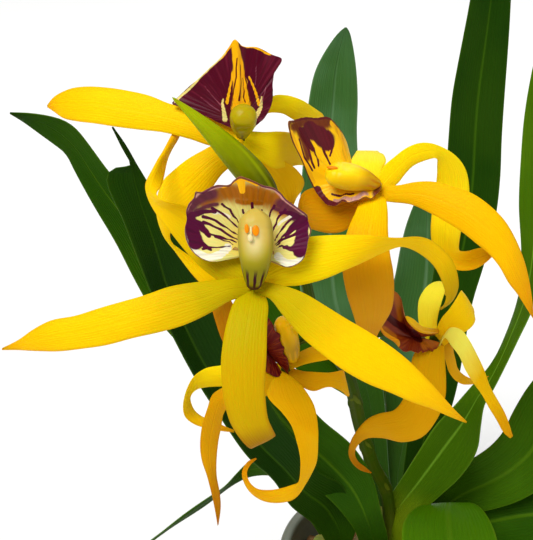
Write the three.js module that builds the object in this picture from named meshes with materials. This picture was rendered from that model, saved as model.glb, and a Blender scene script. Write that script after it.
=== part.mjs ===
// A potted octopussy cockleshell orchid, in millimetres, with +Z up.
// The origin is the middle of the flat underside of the pot, and the plant is seen from -Y.
// The plant stands on its potting mix: pseudobulbs carry strap leaves and one arching flower spike,
// and the spike carries five flowers and a bud. Each flower has five ribbon-like tepals, a shell-shaped
// lip that stands uppermost, and a column.
import * as THREE from 'three';

// Pot and mix
const POT_HEIGHT = 100;
const POT_BASE_RADIUS = 38;
const POT_TOP_RADIUS = 51.5;
const POT_WALL = 1.8;
const POT_FLOOR = 2.6;
const RIM_OUTER_RADIUS = 55;
const RIM_DEPTH = 7;
const RIM_ROUND = 1.5;
const MIX_TOP = 84;
const POT_SEGMENTS = 36;

// Space kept between neighbouring solids
const GAP = 0.3;

// Pseudobulbs
const BULB_SIDES = 12;
const BULB_FLATTENING = 0.85;

// Flowers: every lip and column is laid out in a frame that leans back, so its z axis points
// at somebody who looks down on the plant from the front at this angle.
const VIEW_ANGLE = THREE.MathUtils.degToRad(24.5);
const LEAN = Math.PI / 2 - VIEW_ANGLE;
const TOWARDS_VIEWER = new THREE.Vector3(0, -Math.cos(VIEW_ANGLE), Math.sin(VIEW_ANGLE));
const TEPAL_THICKNESS = 1.2;
const LIP_THICKNESS = 1;
const HUB_RADIUS = 1.2;
const OVARY_RADIUS = 1.45;
const PEDICEL_RADIUS = 1.2;
const COLUMN_SIDES = 8;

const COLOURS = {
  petal: 0xf2c200,
  lip: 0x5a0a2c,
  column: 0xd9d46a,
  stalk: 0x5d7a1e,
  bud: 0x8fae10,
  leaf: 0x2f5512,
  bulb: 0x5f7a24,
  mix: 0x5a4426,
  pot: 0x8b9296,
};

function finish(colour, roughness = 0.5) {
  return new THREE.MeshStandardMaterial({ color: colour, roughness, metalness: 0 });
}

function namedMesh(name, geometry, colour, roughness) {
  const mesh = new THREE.Mesh(geometry, finish(colour, roughness));
  mesh.name = name;
  return mesh;
}

// Signed volume of a triangle list, positive when the faces point out.
function signedVolume(points, faces) {
  let volume = 0;
  for (const [a, b, c] of faces) {
    volume += points[a].dot(points[b].clone().cross(points[c])) / 6;
  }
  return volume;
}

function geometryFrom(points, faces) {
  const outward = signedVolume(points, faces) > 0 ? faces : faces.map(([a, b, c]) => [a, c, b]);
  const geometry = new THREE.BufferGeometry().setFromPoints(points);
  geometry.setIndex(outward.flat());
  geometry.computeVertexNormals();
  return geometry;
}

// Closes a row of rings, all with the same number of points, into one solid.
function loft(rings, capFaces) {
  const size = rings[0].length;
  const faces = [];
  for (let ring = 0; ring + 1 < rings.length; ring += 1) {
    for (let i = 0; i < size; i += 1) {
      const next = (i + 1) % size;
      const here = ring * size;
      const there = here + size;
      faces.push([here + i, here + next, there + i], [here + next, there + next, there + i]);
    }
  }
  const last = (rings.length - 1) * size;
  for (const [a, b, c] of capFaces(size)) {
    faces.push([a, c, b], [last + a, last + b, last + c]);
  }
  return geometryFrom(rings.flat(), faces);
}

// Cap of a flat strip: its upper points run one way and its lower points run back.
function stripCap(size) {
  const faces = [];
  for (let i = 0; i + 1 < size / 2; i += 1) {
    const below = size - 1 - i;
    faces.push([i, i + 1, below], [i + 1, below - 1, below]);
  }
  return faces;
}

function roundCap(size) {
  const faces = [];
  for (let i = 1; i + 1 < size; i += 1) {
    faces.push([0, i, i + 1]);
  }
  return faces;
}

function vectors(triples) {
  return triples.map((triple) => new THREE.Vector3(...triple));
}

// A value read at a share of the way along a list of evenly spaced values.
function along(values, share) {
  if (values.length === 1) {
    return values[0];
  }
  const place = share * (values.length - 1);
  const index = Math.min(Math.floor(place), values.length - 2);
  return THREE.MathUtils.lerp(values[index], values[index + 1], place - index);
}

// A thin sheet between two edges. Each row holds its left edge, its right edge and how far its middle
// bows towards the viewer, all in tenths of a millimetre.
function sheet(rows, thickness) {
  const lines = rows.map((row) => {
    const left = new THREE.Vector3(...row.slice(0, 3)).divideScalar(10);
    const right = new THREE.Vector3(...row.slice(3, 6)).divideScalar(10);
    const middle = left.clone().lerp(right, 0.5).addScaledVector(TOWARDS_VIEWER, row[6] / 10);
    return { left, right, middle };
  });
  const last = lines.length - 1;
  const rings = lines.map(({ left, right, middle }, index) => {
    const tangent = lines[Math.min(index + 1, last)].middle.clone()
      .sub(lines[Math.max(index - 1, 0)].middle);
    const side = right.clone().sub(left);
    const body = thickness * Math.min(1, 0.5 + side.length() / 8);
    const normal = tangent.cross(side).normalize();
    const point = (place, height) => place.clone().addScaledVector(normal, height);
    return [
      point(left, body / 4), point(middle, body / 2), point(right, body / 4),
      point(right, -body / 4), point(middle, -body / 2), point(left, -body / 4),
    ];
  });
  return loft(rings, stripCap);
}

// A round stem along a path, with its radius given at evenly spaced shares of the way.
function stem({ path, radii, sides = 7, steps = 7 }) {
  const curve = new THREE.CatmullRomCurve3(vectors(path), false, 'centripetal');
  const frames = curve.computeFrenetFrames(steps, false);
  const rings = [];
  for (let step = 0; step <= steps; step += 1) {
    const share = step / steps;
    const centre = curve.getPointAt(share);
    const radius = along(radii, share);
    const ring = [];
    for (let side = 0; side < sides; side += 1) {
      const angle = (side / sides) * 2 * Math.PI;
      ring.push(centre.clone()
        .addScaledVector(frames.normals[step], radius * Math.cos(angle))
        .addScaledVector(frames.binormals[step], radius * Math.sin(angle)));
    }
    rings.push(ring);
  }
  return loft(rings, roundCap);
}

// The lip is a fan between a point behind the column and its rim, both in tenths of a millimetre.
const LIP_INNER = 0.22;
const LIP_STEPS = 5;

function lipPoint({ rim, centre, power }, index, share) {
  const [cx, cy, cz] = centre;
  const [x, y, z] = rim[index];
  return new THREE.Vector3(
    cx + (x - cx) * share,
    cy + (y - cy) * share,
    cz + (z - cz) * share ** power,
  ).divideScalar(10);
}

// Two layers of the fan, each half a thickness away from its middle.
function lipLayers(lip) {
  const turns = lip.rim.length - 1;
  const middle = lip.rim.map((_, index) => Array.from(
    { length: LIP_STEPS + 1 },
    (__, step) => lipPoint(lip, index, THREE.MathUtils.lerp(LIP_INNER, 1, step / LIP_STEPS)),
  ));
  const away = (i, j) => {
    const around = middle[Math.min(i + 1, turns)][j].clone().sub(middle[Math.max(i - 1, 0)][j]);
    const outward = middle[i][Math.min(j + 1, LIP_STEPS)].clone().sub(middle[i][Math.max(j - 1, 0)]);
    return around.cross(outward).normalize();
  };
  return [LIP_THICKNESS / 2, -LIP_THICKNESS / 2].flatMap((offset) => (
    middle.flatMap((row, i) => row.map((place, j) => place.clone().addScaledVector(away(i, j), offset)))
  ));
}

function lipGeometry(lip) {
  const points = lipLayers(lip);
  const faces = [];
  const turns = lip.rim.length - 1;
  const columns = LIP_STEPS + 1;
  const size = (turns + 1) * columns;
  const quad = (a, b, c, d) => faces.push([a, b, c], [a, c, d]);
  for (let i = 0; i < turns; i += 1) {
    for (let j = 0; j < LIP_STEPS; j += 1) {
      const a = i * columns + j;
      quad(a, a + 1, a + columns + 1, a + columns);
      quad(size + a, size + a + columns, size + a + columns + 1, size + a + 1);
    }
    const inner = i * columns;
    const outer = inner + LIP_STEPS;
    quad(inner, inner + columns, size + inner + columns, size + inner);
    quad(outer, size + outer, size + outer + columns, outer + columns);
  }
  for (let j = 0; j < LIP_STEPS; j += 1) {
    const far = turns * columns + j;
    quad(j, size + j, size + j + 1, j + 1);
    quad(far, far + 1, size + far + 1, size + far);
  }
  return geometryFrom(points, faces);
}

// Turns a crown so that its y axis rises one way and its z axis faces the other as nearly as it can.
function facing(rise, face) {
  const y = new THREE.Vector3(...rise).normalize();
  const x = y.clone().cross(new THREE.Vector3(...face)).normalize();
  const z = x.clone().cross(y);
  return new THREE.Matrix4().makeBasis(x, y, z);
}

// The crown of a flower is its lip and its column. It stands at the flower's middle, and the lip
// rises and faces as given.
function crown({ name, place, rise, face, lip, column }) {
  const group = new THREE.Group();
  group.position.set(...place);
  group.rotation.x = LEAN;
  const turned = new THREE.Group();
  turned.setRotationFromMatrix(facing(rise, face));
  turned.add(namedMesh(`${name}_lip`, lipGeometry(lip), COLOURS.lip));
  turned.add(namedMesh(`${name}_column`, stem({ ...column, sides: COLUMN_SIDES }), COLOURS.column));
  group.add(turned);
  return group;
}

// The flowers' crowns in their leaning frame, and their tepals in the plant's frame.
const FLOWERS = [
  {
    name: 'front_flower',
    place: [-64.6, -153.3, 312.5],
    rise: [-0.05, 1, 0],
    face: [0, 0, 1],
    lip: {
      rim: [
        [-30, 84, 22], [-45, 94, 24], [-87, 68, 31], [-130, 83, 44], [-154, 124, 53], [-150, 174, 63],
        [-142, 209, 81], [-122, 236, 98], [-90, 243, 96], [-41, 250, 95], [-14, 266, 113], [21, 253, 97],
        [68, 236, 84], [96, 208, 65], [129, 182, 58], [146, 153, 53], [144, 110, 49], [130, 63, 44],
        [88, 45, 32], [61, 70, 26], [44, 75, 24],
      ],
      centre: [7, 84, 21],
      power: 2.0,
    },
    column: {
      path: [[0.4, 0.6, 2.4], [0.8, 2.4, 4.6], [1.2, 6, 6.4], [1.5, 11, 7.8], [1.6, 15.4, 8.8], [1.5, 19.0, 9.2]],
      radii: [1.5, 2.9, 3.6, 4.1, 3.7, 1.6],
    },
    tepals: {
      left_petal: [
        [-686, -1533, 3149, -678, -1554, 3102, 7], [-710, -1543, 3151, -696, -1564, 3104, 8],
        [-784, -1560, 3150, -752, -1591, 3080, 9], [-852, -1569, 3142, -815, -1608, 3057, 9],
        [-909, -1577, 3124, -877, -1615, 3040, 9], [-966, -1581, 3107, -936, -1618, 3026, 9],
        [-1024, -1579, 3088, -999, -1616, 3007, 9], [-1087, -1571, 3064, -1067, -1605, 2990, 8],
        [-1151, -1559, 3044, -1136, -1591, 2973, 7], [-1198, -1550, 3014, -1191, -1573, 2964, 5],
        [-1246, -1535, 2975, -1244, -1545, 2952, 3], [-1292, -1526, 2947, -1291, -1529, 2940, 1],
      ],
      dorsal_sepal: [
        [-688, -1563, 3101, -610, -1562, 3101, 7], [-694, -1576, 3096, -606, -1576, 3096, 8],
        [-706, -1613, 3068, -608, -1613, 3068, 9], [-716, -1646, 3030, -610, -1646, 3030, 9],
        [-721, -1669, 2993, -611, -1669, 2993, 9], [-718, -1692, 2945, -613, -1692, 2945, 9],
        [-711, -1710, 2893, -612, -1708, 2898, 9], [-696, -1719, 2837, -606, -1712, 2851, 8],
        [-675, -1720, 2799, -596, -1708, 2823, 6], [-652, -1703, 2762, -587, -1691, 2789, 2],
        [-644, -1677, 2749, -591, -1666, 2771, 0], [-639, -1641, 2755, -606, -1635, 2768, 0],
        [-632, -1617, 2772, -622, -1614, 2776, 0],
      ],
      right_petal: [
        [-597, -1537, 3137, -622, -1552, 3105, 7], [-576, -1547, 3137, -606, -1560, 3109, 8],
        [-527, -1564, 3127, -569, -1589, 3073, 9], [-473, -1586, 3104, -525, -1619, 3032, 9],
        [-418, -1607, 3077, -476, -1643, 2998, 9], [-362, -1625, 3048, -425, -1663, 2963, 9],
        [-305, -1637, 3012, -366, -1673, 2931, 9], [-254, -1643, 2971, -303, -1674, 2904, 9],
        [-207, -1647, 2921, -244, -1670, 2871, 7], [-168, -1643, 2871, -185, -1657, 2840, 5],
        [-134, -1639, 2831, -142, -1647, 2814, 3], [-100, -1634, 2794, -103, -1637, 2787, 0],
      ],
      left_sepal: [
        [-694, -1523, 3124, -656, -1503, 3168, 5], [-729, -1515, 3139, -682, -1489, 3196, 6],
        [-770, -1501, 3162, -712, -1468, 3236, 6], [-815, -1478, 3200, -747, -1453, 3276, 6],
        [-856, -1452, 3243, -781, -1450, 3299, 5], [-888, -1425, 3277, -825, -1462, 3316, 2],
        [-908, -1400, 3307, -869, -1467, 3329, -3], [-917, -1385, 3328, -885, -1437, 3334, -4],
        [-918, -1367, 3347, -880, -1371, 3334, 12], [-905, -1344, 3370, -875, -1317, 3356, 18],
        [-892, -1320, 3387, -869, -1282, 3374, 16], [-879, -1287, 3399, -858, -1246, 3392, 14],
        [-863, -1231, 3424, -844, -1208, 3414, 8], [-844, -1167, 3444, -839, -1161, 3441, 0],
      ],
      right_sepal: [
        [-598, -1508, 3158, -619, -1528, 3115, 5], [-569, -1498, 3177, -586, -1522, 3125, 6],
        [-511, -1475, 3228, -526, -1521, 3126, 6], [-463, -1475, 3240, -471, -1516, 3137, 8],
        [-412, -1492, 3249, -418, -1507, 3158, 9], [-363, -1516, 3258, -356, -1501, 3183, 9],
        [-321, -1538, 3263, -311, -1498, 3205, 7], [-285, -1555, 3268, -274, -1498, 3220, 3],
        [-245, -1546, 3265, -244, -1498, 3213, 2], [-209, -1531, 3250, -215, -1501, 3195, 2],
        [-175, -1521, 3223, -193, -1505, 3173, 3], [-148, -1513, 3191, -178, -1511, 3149, 4],
        [-131, -1511, 3148, -163, -1510, 3115, 4], [-125, -1504, 3103, -153, -1503, 3082, 3],
        [-138, -1496, 3062, -158, -1499, 3055, 2], [-161, -1490, 3038, -168, -1491, 3035, 0],
      ],
    },
  },
  {
    name: 'top_flower',
    place: [-67.7, -126.1, 343.1],
    rise: [-0.06, 1, 0.05],
    face: [0, 0, 1],
    lip: {
      rim: [
        [-24, 23, 19], [-47, 35, 17], [-77, 52, 13], [-124, 74, 2], [-160, 91, -10], [-175, 99, -16],
        [-163, 110, -11], [-130, 136, 3], [-105, 152, 13], [-66, 182, 26], [-41, 202, 34], [-16, 225, 42],
        [1, 242, 47], [16, 228, 43], [55, 223, 38], [94, 204, 27], [118, 193, 18], [99, 163, 16],
        [91, 130, 13], [90, 110, 11], [86, 82, 11], [73, 55, 14], [52, 33, 17], [31, 22, 19],
      ],
      centre: [0, 36, 20],
      power: 1.3,
    },
    column: {
      path: [[0.3, 0.6, 2.4], [0.6, 1.6, 4.6], [0.9, 3, 7.5], [1.1, 4.2, 10.5], [1.2, 5, 13]],
      radii: [1.5, 2.6, 3.1, 3.2, 1.6],
    },
    tepals: {
      left_sepal: [
        [-718, -1224, 3464, -726, -1253, 3402, 5], [-746, -1217, 3476, -754, -1251, 3402, 7],
        [-812, -1210, 3493, -817, -1243, 3421, 9], [-866, -1197, 3503, -879, -1228, 3433, 9],
        [-920, -1174, 3517, -947, -1211, 3435, 9], [-976, -1153, 3524, -1005, -1193, 3437, 9],
        [-1038, -1129, 3529, -1070, -1169, 3440, 9], [-1099, -1105, 3525, -1126, -1144, 3439, 8],
        [-1156, -1082, 3510, -1170, -1114, 3440, 6], [-1199, -1071, 3487, -1199, -1087, 3451, 3],
        [-1221, -1065, 3463, -1221, -1068, 3456, 0],
      ],
      right_sepal: [
        [-641, -1217, 3464, -662, -1233, 3428, 4], [-622, -1196, 3490, -641, -1217, 3444, 6],
        [-590, -1162, 3515, -609, -1182, 3473, 9], [-555, -1137, 3510, -571, -1157, 3466, 9],
        [-521, -1113, 3492, -540, -1135, 3443, 9], [-492, -1079, 3468, -512, -1102, 3419, 8],
        [-465, -1037, 3440, -482, -1057, 3398, 6], [-447, -986, 3408, -459, -997, 3383, 3],
        [-447, -946, 3374, -452, -951, 3364, 0],
      ],
      left_petal: [
        [-710, -1254, 3430, -686, -1277, 3380, 6], [-727, -1259, 3422, -701, -1286, 3362, 8],
        [-769, -1274, 3402, -727, -1302, 3342, 12], [-813, -1285, 3379, -753, -1312, 3307, 14],
        [-857, -1279, 3343, -786, -1311, 3262, 14], [-889, -1263, 3307, -825, -1303, 3219, 12],
        [-906, -1251, 3260, -852, -1284, 3188, 8], [-909, -1251, 3213, -872, -1273, 3164, 5],
        [-894, -1255, 3156, -869, -1266, 3131, 4], [-868, -1262, 3103, -840, -1268, 3091, 4],
        [-827, -1283, 3045, -796, -1282, 3048, 4], [-785, -1308, 2990, -755, -1301, 3005, 4],
        [-757, -1340, 2944, -721, -1333, 2959, 4], [-734, -1378, 2897, -707, -1373, 2909, 3],
        [-715, -1407, 2869, -704, -1405, 2874, 0],
      ],
      right_petal: [
        [-645, -1249, 3443, -661, -1272, 3393, 5], [-622, -1246, 3440, -638, -1275, 3378, 7],
        [-582, -1212, 3431, -595, -1252, 3343, 9], [-546, -1155, 3411, -557, -1194, 3326, 8],
        [-511, -1089, 3375, -519, -1120, 3306, 7], [-482, -1030, 3336, -488, -1056, 3279, 5],
        [-456, -971, 3296, -462, -993, 3248, 4], [-434, -914, 3253, -440, -930, 3217, 3],
        [-418, -857, 3209, -421, -865, 3192, 1], [-411, -806, 3175, -412, -809, 3168, 0],
      ],
      dorsal_sepal: [
        [-680, -1220, 3370, -620, -1214, 3384, 5], [-675, -1211, 3353, -606, -1203, 3372, 6],
        [-649, -1189, 3306, -563, -1175, 3335, 8], [-622, -1167, 3265, -526, -1151, 3300, 8],
        [-600, -1174, 3237, -506, -1158, 3273, 8], [-580, -1178, 3210, -513, -1161, 3246, 6],
        [-563, -1164, 3182, -526, -1149, 3215, 4], [-551, -1191, 3176, -540, -1182, 3194, 2],
        [-545, -1176, 3161, -541, -1173, 3167, 0],
      ],
    },
  },
  {
    name: 'right_flower',
    place: [-30.6, -126.2, 328.4],
    rise: [-0.95, 0.1, -0.2],
    face: [0, 0.8, 0.6],
    lip: {
      rim: [
        [-1, 6, 18], [-36, 14, 17], [-59, 29, 9], [-73, 51, 7], [-79, 74, 3], [-72, 101, -9], [-60, 130, -25],
        [-47, 155, -13], [-31, 179, 22], [-21, 210, 89], [-11, 240, 149], [-1, 246, 170], [29, 236, 174],
        [55, 214, 172], [81, 182, 162], [97, 153, 147], [108, 131, 121], [121, 116, 82], [127, 105, 35],
        [118, 100, 5], [97, 69, 0], [61, 33, 7], [31, 9, 11],
      ],
      centre: [0, 65, 21],
      power: 2.2,
    },
    column: {
      path: [[-0.2, 1.9, 3.3], [-1.2, 3.0, 5.2], [-2.2, 5.6, 6.7], [-3.1, 8.9, 7.4], [-3.6, 11.8, 7.8], [-3.8, 14.2, 7.9]],
      radii: [1.1, 1.7, 2.4, 2.9, 2.8, 1.5],
    },
    tepals: {
      upper_petal: [
        [-357, -1231, 3322, -297, -1227, 3330, 5], [-377, -1204, 3337, -285, -1201, 3343, 8],
        [-373, -1158, 3342, -284, -1157, 3343, 8], [-360, -1097, 3334, -288, -1097, 3334, 6],
        [-347, -1037, 3320, -290, -1037, 3319, 5], [-336, -982, 3297, -289, -982, 3297, 4],
        [-325, -940, 3268, -290, -940, 3268, 3], [-309, -902, 3230, -296, -902, 3230, 0],
      ],
      arching_sepal: [
        [-290, -1215, 3338, -253, -1234, 3296, 6], [-267, -1198, 3352, -237, -1217, 3310, 6],
        [-231, -1178, 3373, -212, -1198, 3329, 6], [-187, -1157, 3382, -177, -1177, 3338, 5],
        [-137, -1135, 3369, -144, -1160, 3339, 4], [-87, -1117, 3338, -138, -1149, 3316, 4],
        [-50, -1105, 3292, -134, -1142, 3282, 6], [-36, -1107, 3239, -134, -1136, 3247, 7],
        [-36, -1117, 3192, -138, -1143, 3208, 7], [-47, -1138, 3148, -145, -1161, 3169, 7],
        [-60, -1168, 3105, -148, -1193, 3122, 7], [-65, -1191, 3078, -141, -1220, 3087, 5],
        [-58, -1212, 3081, -116, -1249, 3060, 4], [-45, -1230, 3090, -78, -1274, 3053, 4],
        [-32, -1254, 3108, -43, -1292, 3063, 3], [-16, -1281, 3123, -18, -1308, 3087, 2],
        [-3, -1307, 3125, -2, -1319, 3112, 0],
      ],
      long_petal: [
        [-286, -1260, 3298, -294, -1278, 3257, 5], [-262, -1272, 3300, -273, -1290, 3259, 6],
        [-217, -1287, 3314, -230, -1311, 3261, 8], [-170, -1306, 3322, -189, -1337, 3252, 10],
        [-124, -1327, 3317, -147, -1363, 3236, 10], [-79, -1346, 3306, -108, -1386, 3217, 10],
        [-35, -1369, 3280, -68, -1409, 3190, 10], [3, -1389, 3247, -36, -1425, 3168, 10],
        [32, -1402, 3206, -8, -1434, 3136, 9], [57, -1410, 3153, 18, -1437, 3093, 8],
        [75, -1415, 3094, 48, -1433, 3055, 5], [91, -1421, 3033, 75, -1429, 3015, 3],
        [102, -1421, 2983, 97, -1424, 2977, 0],
      ],
      lower_sepal: [
        [-361, -1297, 3263, -291, -1298, 3260, 7], [-377, -1331, 3242, -290, -1333, 3237, 10],
        [-396, -1366, 3213, -292, -1369, 3206, 12], [-411, -1396, 3172, -290, -1400, 3162, 12],
        [-412, -1408, 3120, -279, -1412, 3113, 12], [-400, -1404, 3057, -272, -1403, 3060, 11],
        [-380, -1377, 2983, -270, -1372, 2994, 10], [-359, -1335, 2908, -282, -1329, 2920, 7],
        [-333, -1289, 2839, -299, -1286, 2847, 3], [-313, -1246, 2789, -305, -1245, 2791, 0],
      ],
      near_sepal: [
        [-355, -1238, 3283, -331, -1259, 3237, 6], [-378, -1234, 3273, -357, -1261, 3214, 9],
        [-424, -1224, 3273, -396, -1270, 3171, 13], [-466, -1202, 3271, -439, -1255, 3156, 15],
        [-501, -1179, 3250, -478, -1223, 3152, 14], [-519, -1151, 3214, -499, -1179, 3152, 9],
        [-519, -1100, 3164, -506, -1111, 3138, 4], [-502, -1040, 3119, -496, -1045, 3108, 2],
        [-477, -1017, 3097, -473, -1020, 3090, 0],
      ],
    },
  },
  {
    name: 'low_flower',
    place: [-55.5, -118.7, 267.7],
    rise: [-0.55, 0.83, 0],
    face: [0.77, 0.51, 0.4],
    lip: {
      rim: [
        [-28, 19, 37], [-42, 56, 54], [-51, 102, 72], [-58, 146, 80], [-61, 185, 74], [-64, 201, 54],
        [-67, 189, 22], [-60, 144, -13], [-53, 89, -33], [-46, 38, -30], [-30, 4, -19],
      ],
      centre: [1, 91, -9],
      power: 1.5,
    },
    column: {
      path: [[0.2, 1.7, 3.9], [-0.3, 3.9, 5.5], [-0.4, 6.2, 6.6], [-0.5, 9.2, 7.6], [-0.3, 12.5, 8.4], [0.1, 14.9, 8.8]],
      radii: [1.3, 2.3, 2.8, 2.9, 2.7, 1.4],
    },
    tepals: {
      curled_sepal: [
        [-604, -1205, 2670, -507, -1216, 2647, 8], [-611, -1214, 2666, -498, -1225, 2642, 9],
        [-606, -1248, 2628, -469, -1258, 2606, 11], [-570, -1268, 2595, -460, -1281, 2568, 10],
        [-542, -1292, 2567, -458, -1309, 2531, 9], [-522, -1314, 2520, -457, -1303, 2471, 5],
        [-511, -1329, 2474, -460, -1309, 2435, 3], [-511, -1343, 2431, -474, -1314, 2399, 2],
        [-516, -1349, 2395, -494, -1327, 2370, 2], [-534, -1348, 2384, -522, -1343, 2336, 2],
        [-567, -1348, 2371, -566, -1345, 2319, 3], [-606, -1346, 2364, -621, -1343, 2322, 2],
        [-641, -1340, 2367, -660, -1333, 2345, 2], [-662, -1323, 2380, -679, -1316, 2371, 1],
        [-669, -1304, 2397, -684, -1298, 2397, 0], [-657, -1285, 2414, -666, -1281, 2422, 0],
        [-639, -1270, 2422, -645, -1267, 2427, 0],
      ],
      hooked_petal: [
        [-617, -1173, 2716, -623, -1200, 2656, 7], [-623, -1174, 2719, -629, -1202, 2657, 7],
        [-686, -1187, 2720, -680, -1217, 2652, 8], [-745, -1209, 2713, -746, -1217, 2647, 6],
        [-795, -1215, 2704, -792, -1206, 2635, 4], [-831, -1225, 2679, -823, -1197, 2619, 3],
        [-849, -1236, 2641, -840, -1191, 2597, 2], [-857, -1241, 2595, -843, -1189, 2576, 2],
        [-852, -1243, 2555, -831, -1192, 2547, 2], [-823, -1240, 2524, -807, -1199, 2530, 2],
        [-787, -1236, 2509, -783, -1199, 2519, 2], [-748, -1231, 2497, -746, -1211, 2505, 1],
        [-709, -1223, 2486, -708, -1216, 2489, 0],
      ],
      hanging_petal: [
        [-618, -1228, 2693, -604, -1253, 2638, 6], [-623, -1231, 2694, -611, -1258, 2635, 6],
        [-679, -1257, 2696, -664, -1286, 2632, 8], [-729, -1265, 2676, -696, -1288, 2625, 8],
        [-767, -1277, 2656, -723, -1282, 2614, 6], [-784, -1293, 2614, -737, -1273, 2585, 6],
        [-800, -1305, 2563, -744, -1272, 2538, 6], [-806, -1317, 2512, -755, -1284, 2493, 5],
        [-802, -1329, 2463, -761, -1302, 2449, 4], [-788, -1337, 2413, -760, -1318, 2402, 3],
        [-774, -1351, 2354, -750, -1336, 2350, 2], [-764, -1362, 2300, -748, -1352, 2303, 1],
        [-757, -1372, 2252, -750, -1368, 2253, 0],
      ],
      far_sepal: [
        [-536, -1144, 2703, -521, -1176, 2686, 2], [-514, -1131, 2711, -500, -1171, 2693, 3],
        [-467, -1094, 2713, -442, -1147, 2694, 4], [-410, -1063, 2708, -376, -1118, 2685, 5],
        [-357, -1030, 2690, -331, -1086, 2658, 5], [-314, -1005, 2668, -299, -1056, 2628, 4],
        [-269, -977, 2631, -273, -1018, 2591, 3], [-234, -951, 2585, -249, -980, 2553, 2],
        [-198, -906, 2475, -204, -908, 2470, 0],
      ],
      right_petal: [
        [-513, -1172, 2675, -519, -1209, 2647, 4], [-506, -1172, 2673, -510, -1213, 2644, 4],
        [-470, -1174, 2669, -471, -1224, 2633, 5], [-433, -1162, 2660, -426, -1210, 2639, 5],
        [-400, -1134, 2648, -388, -1193, 2616, 4], [-376, -1098, 2631, -361, -1165, 2580, 3],
        [-365, -1053, 2585, -352, -1104, 2546, 2], [-356, -995, 2520, -351, -1026, 2501, 1],
        [-349, -926, 2455, -345, -929, 2448, 0],
      ],
    },
  },
  {
    name: 'far_flower',
    place: [-3, -79.8, 256.7],
    rise: [-0.65, -0.05, 0.75],
    face: [0.1, 0.98, 0.15],
    lip: {
      rim: [
        [10, 52, 43], [18, 97, 50], [31, 131, 71], [47, 148, 86], [57, 156, 122], [65, 168, 159],
        [75, 187, 173], [74, 218, 147], [65, 246, 104], [66, 266, 70], [56, 251, 37], [44, 206, 12],
        [33, 163, -14], [17, 112, -27], [0, 58, -26], [-6, 12, -22],
      ],
      centre: [49, 72, 13],
      power: 1.5,
    },
    column: {
      path: [[-0.3, 0.9, 4.0], [-0.8, 7.6, 4.8], [-0.1, 12.6, 6.0], [0.8, 16.2, 8.2], [2.2, 18.4, 10.1]],
      radii: [1.0, 1.3, 1.4, 1.3, 0.8],
    },
    tepals: {
      upper_petal: [
        [-75, -764, 2584, -21, -763, 2587, 5], [-83, -751, 2597, -25, -750, 2600, 6],
        [-88, -718, 2633, -18, -718, 2633, 7], [-84, -686, 2668, -6, -689, 2661, 7],
        [-60, -643, 2689, 13, -645, 2684, 6], [-26, -598, 2693, 22, -600, 2688, 4],
        [4, -549, 2680, 33, -553, 2670, 2], [29, -499, 2644, 47, -506, 2628, 1],
        [47, -460, 2585, 56, -463, 2578, 0],
      ],
      right_sepal: [
        [-29, -771, 2610, 14, -792, 2565, 5], [-16, -763, 2638, 38, -788, 2583, 7],
        [13, -738, 2661, 78, -767, 2597, 9], [46, -683, 2674, 111, -715, 2605, 8],
        [73, -618, 2673, 122, -650, 2603, 6], [93, -564, 2645, 124, -586, 2598, 3],
        [113, -520, 2598, 127, -529, 2578, 1], [128, -480, 2541, 132, -483, 2535, 0],
      ],
      long_petal: [
        [2, -792, 2602, -17, -808, 2567, 2], [16, -799, 2624, -6, -814, 2592, 3],
        [43, -821, 2626, 9, -842, 2578, 6], [67, -843, 2601, 34, -865, 2553, 7],
        [91, -860, 2563, 56, -885, 2508, 8], [114, -876, 2515, 83, -899, 2466, 7],
        [138, -889, 2457, 115, -904, 2423, 6], [171, -901, 2401, 141, -912, 2377, 4],
        [198, -910, 2352, 169, -919, 2333, 3], [217, -922, 2307, 196, -930, 2289, 2],
        [228, -930, 2276, 218, -934, 2269, 0],
      ],
      lower_sepal: [
        [-86, -815, 2552, -6, -825, 2530, 6], [-108, -831, 2547, -7, -845, 2516, 8],
        [-127, -865, 2497, -5, -882, 2460, 9], [-137, -888, 2441, -10, -904, 2407, 9],
        [-152, -898, 2395, -34, -923, 2340, 8], [-181, -903, 2361, -81, -932, 2272, 7],
        [-224, -898, 2347, -143, -922, 2246, 6], [-264, -898, 2324, -209, -894, 2246, 4],
        [-300, -906, 2282, -266, -888, 2237, 3], [-324, -919, 2241, -297, -900, 2211, 2],
        [-329, -932, 2200, -304, -913, 2187, 1], [-313, -941, 2169, -293, -925, 2167, 1],
        [-285, -946, 2146, -270, -932, 2151, 0], [-251, -943, 2132, -245, -938, 2134, 0],
      ],
      shaded_petal: [
        [-22, -785, 2526, 10, -774, 2551, 2], [-3, -780, 2511, 28, -768, 2536, 3],
        [13, -766, 2467, 42, -756, 2489, 4], [28, -758, 2426, 54, -748, 2447, 4],
        [52, -747, 2390, 75, -737, 2412, 3], [86, -734, 2362, 104, -724, 2385, 3],
        [124, -711, 2348, 134, -703, 2365, 2], [162, -681, 2342, 169, -675, 2353, 1],
        [194, -648, 2341, 198, -645, 2347, 0],
      ],
    },
  },
];

// The spike arches forwards out of the front pseudobulb and then rises to the bud.
const SPIKE = {
  path: [[-4, -7, 114.8], [-5, -8, 130], [-8, -12, 146], [-15, -22, 165], [-25, -42, 198],
    [-32, -67, 235], [-40, -93, 263], [-47, -112, 285], [-51, -119, 304], [-55, -116, 317], [-57, -113, 322]],
  radii: [3, 2.8, 2.5, 2.2, 2, 1.8, 1.6, 1.3],
  sides: 8,
  steps: 14,
};

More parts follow.
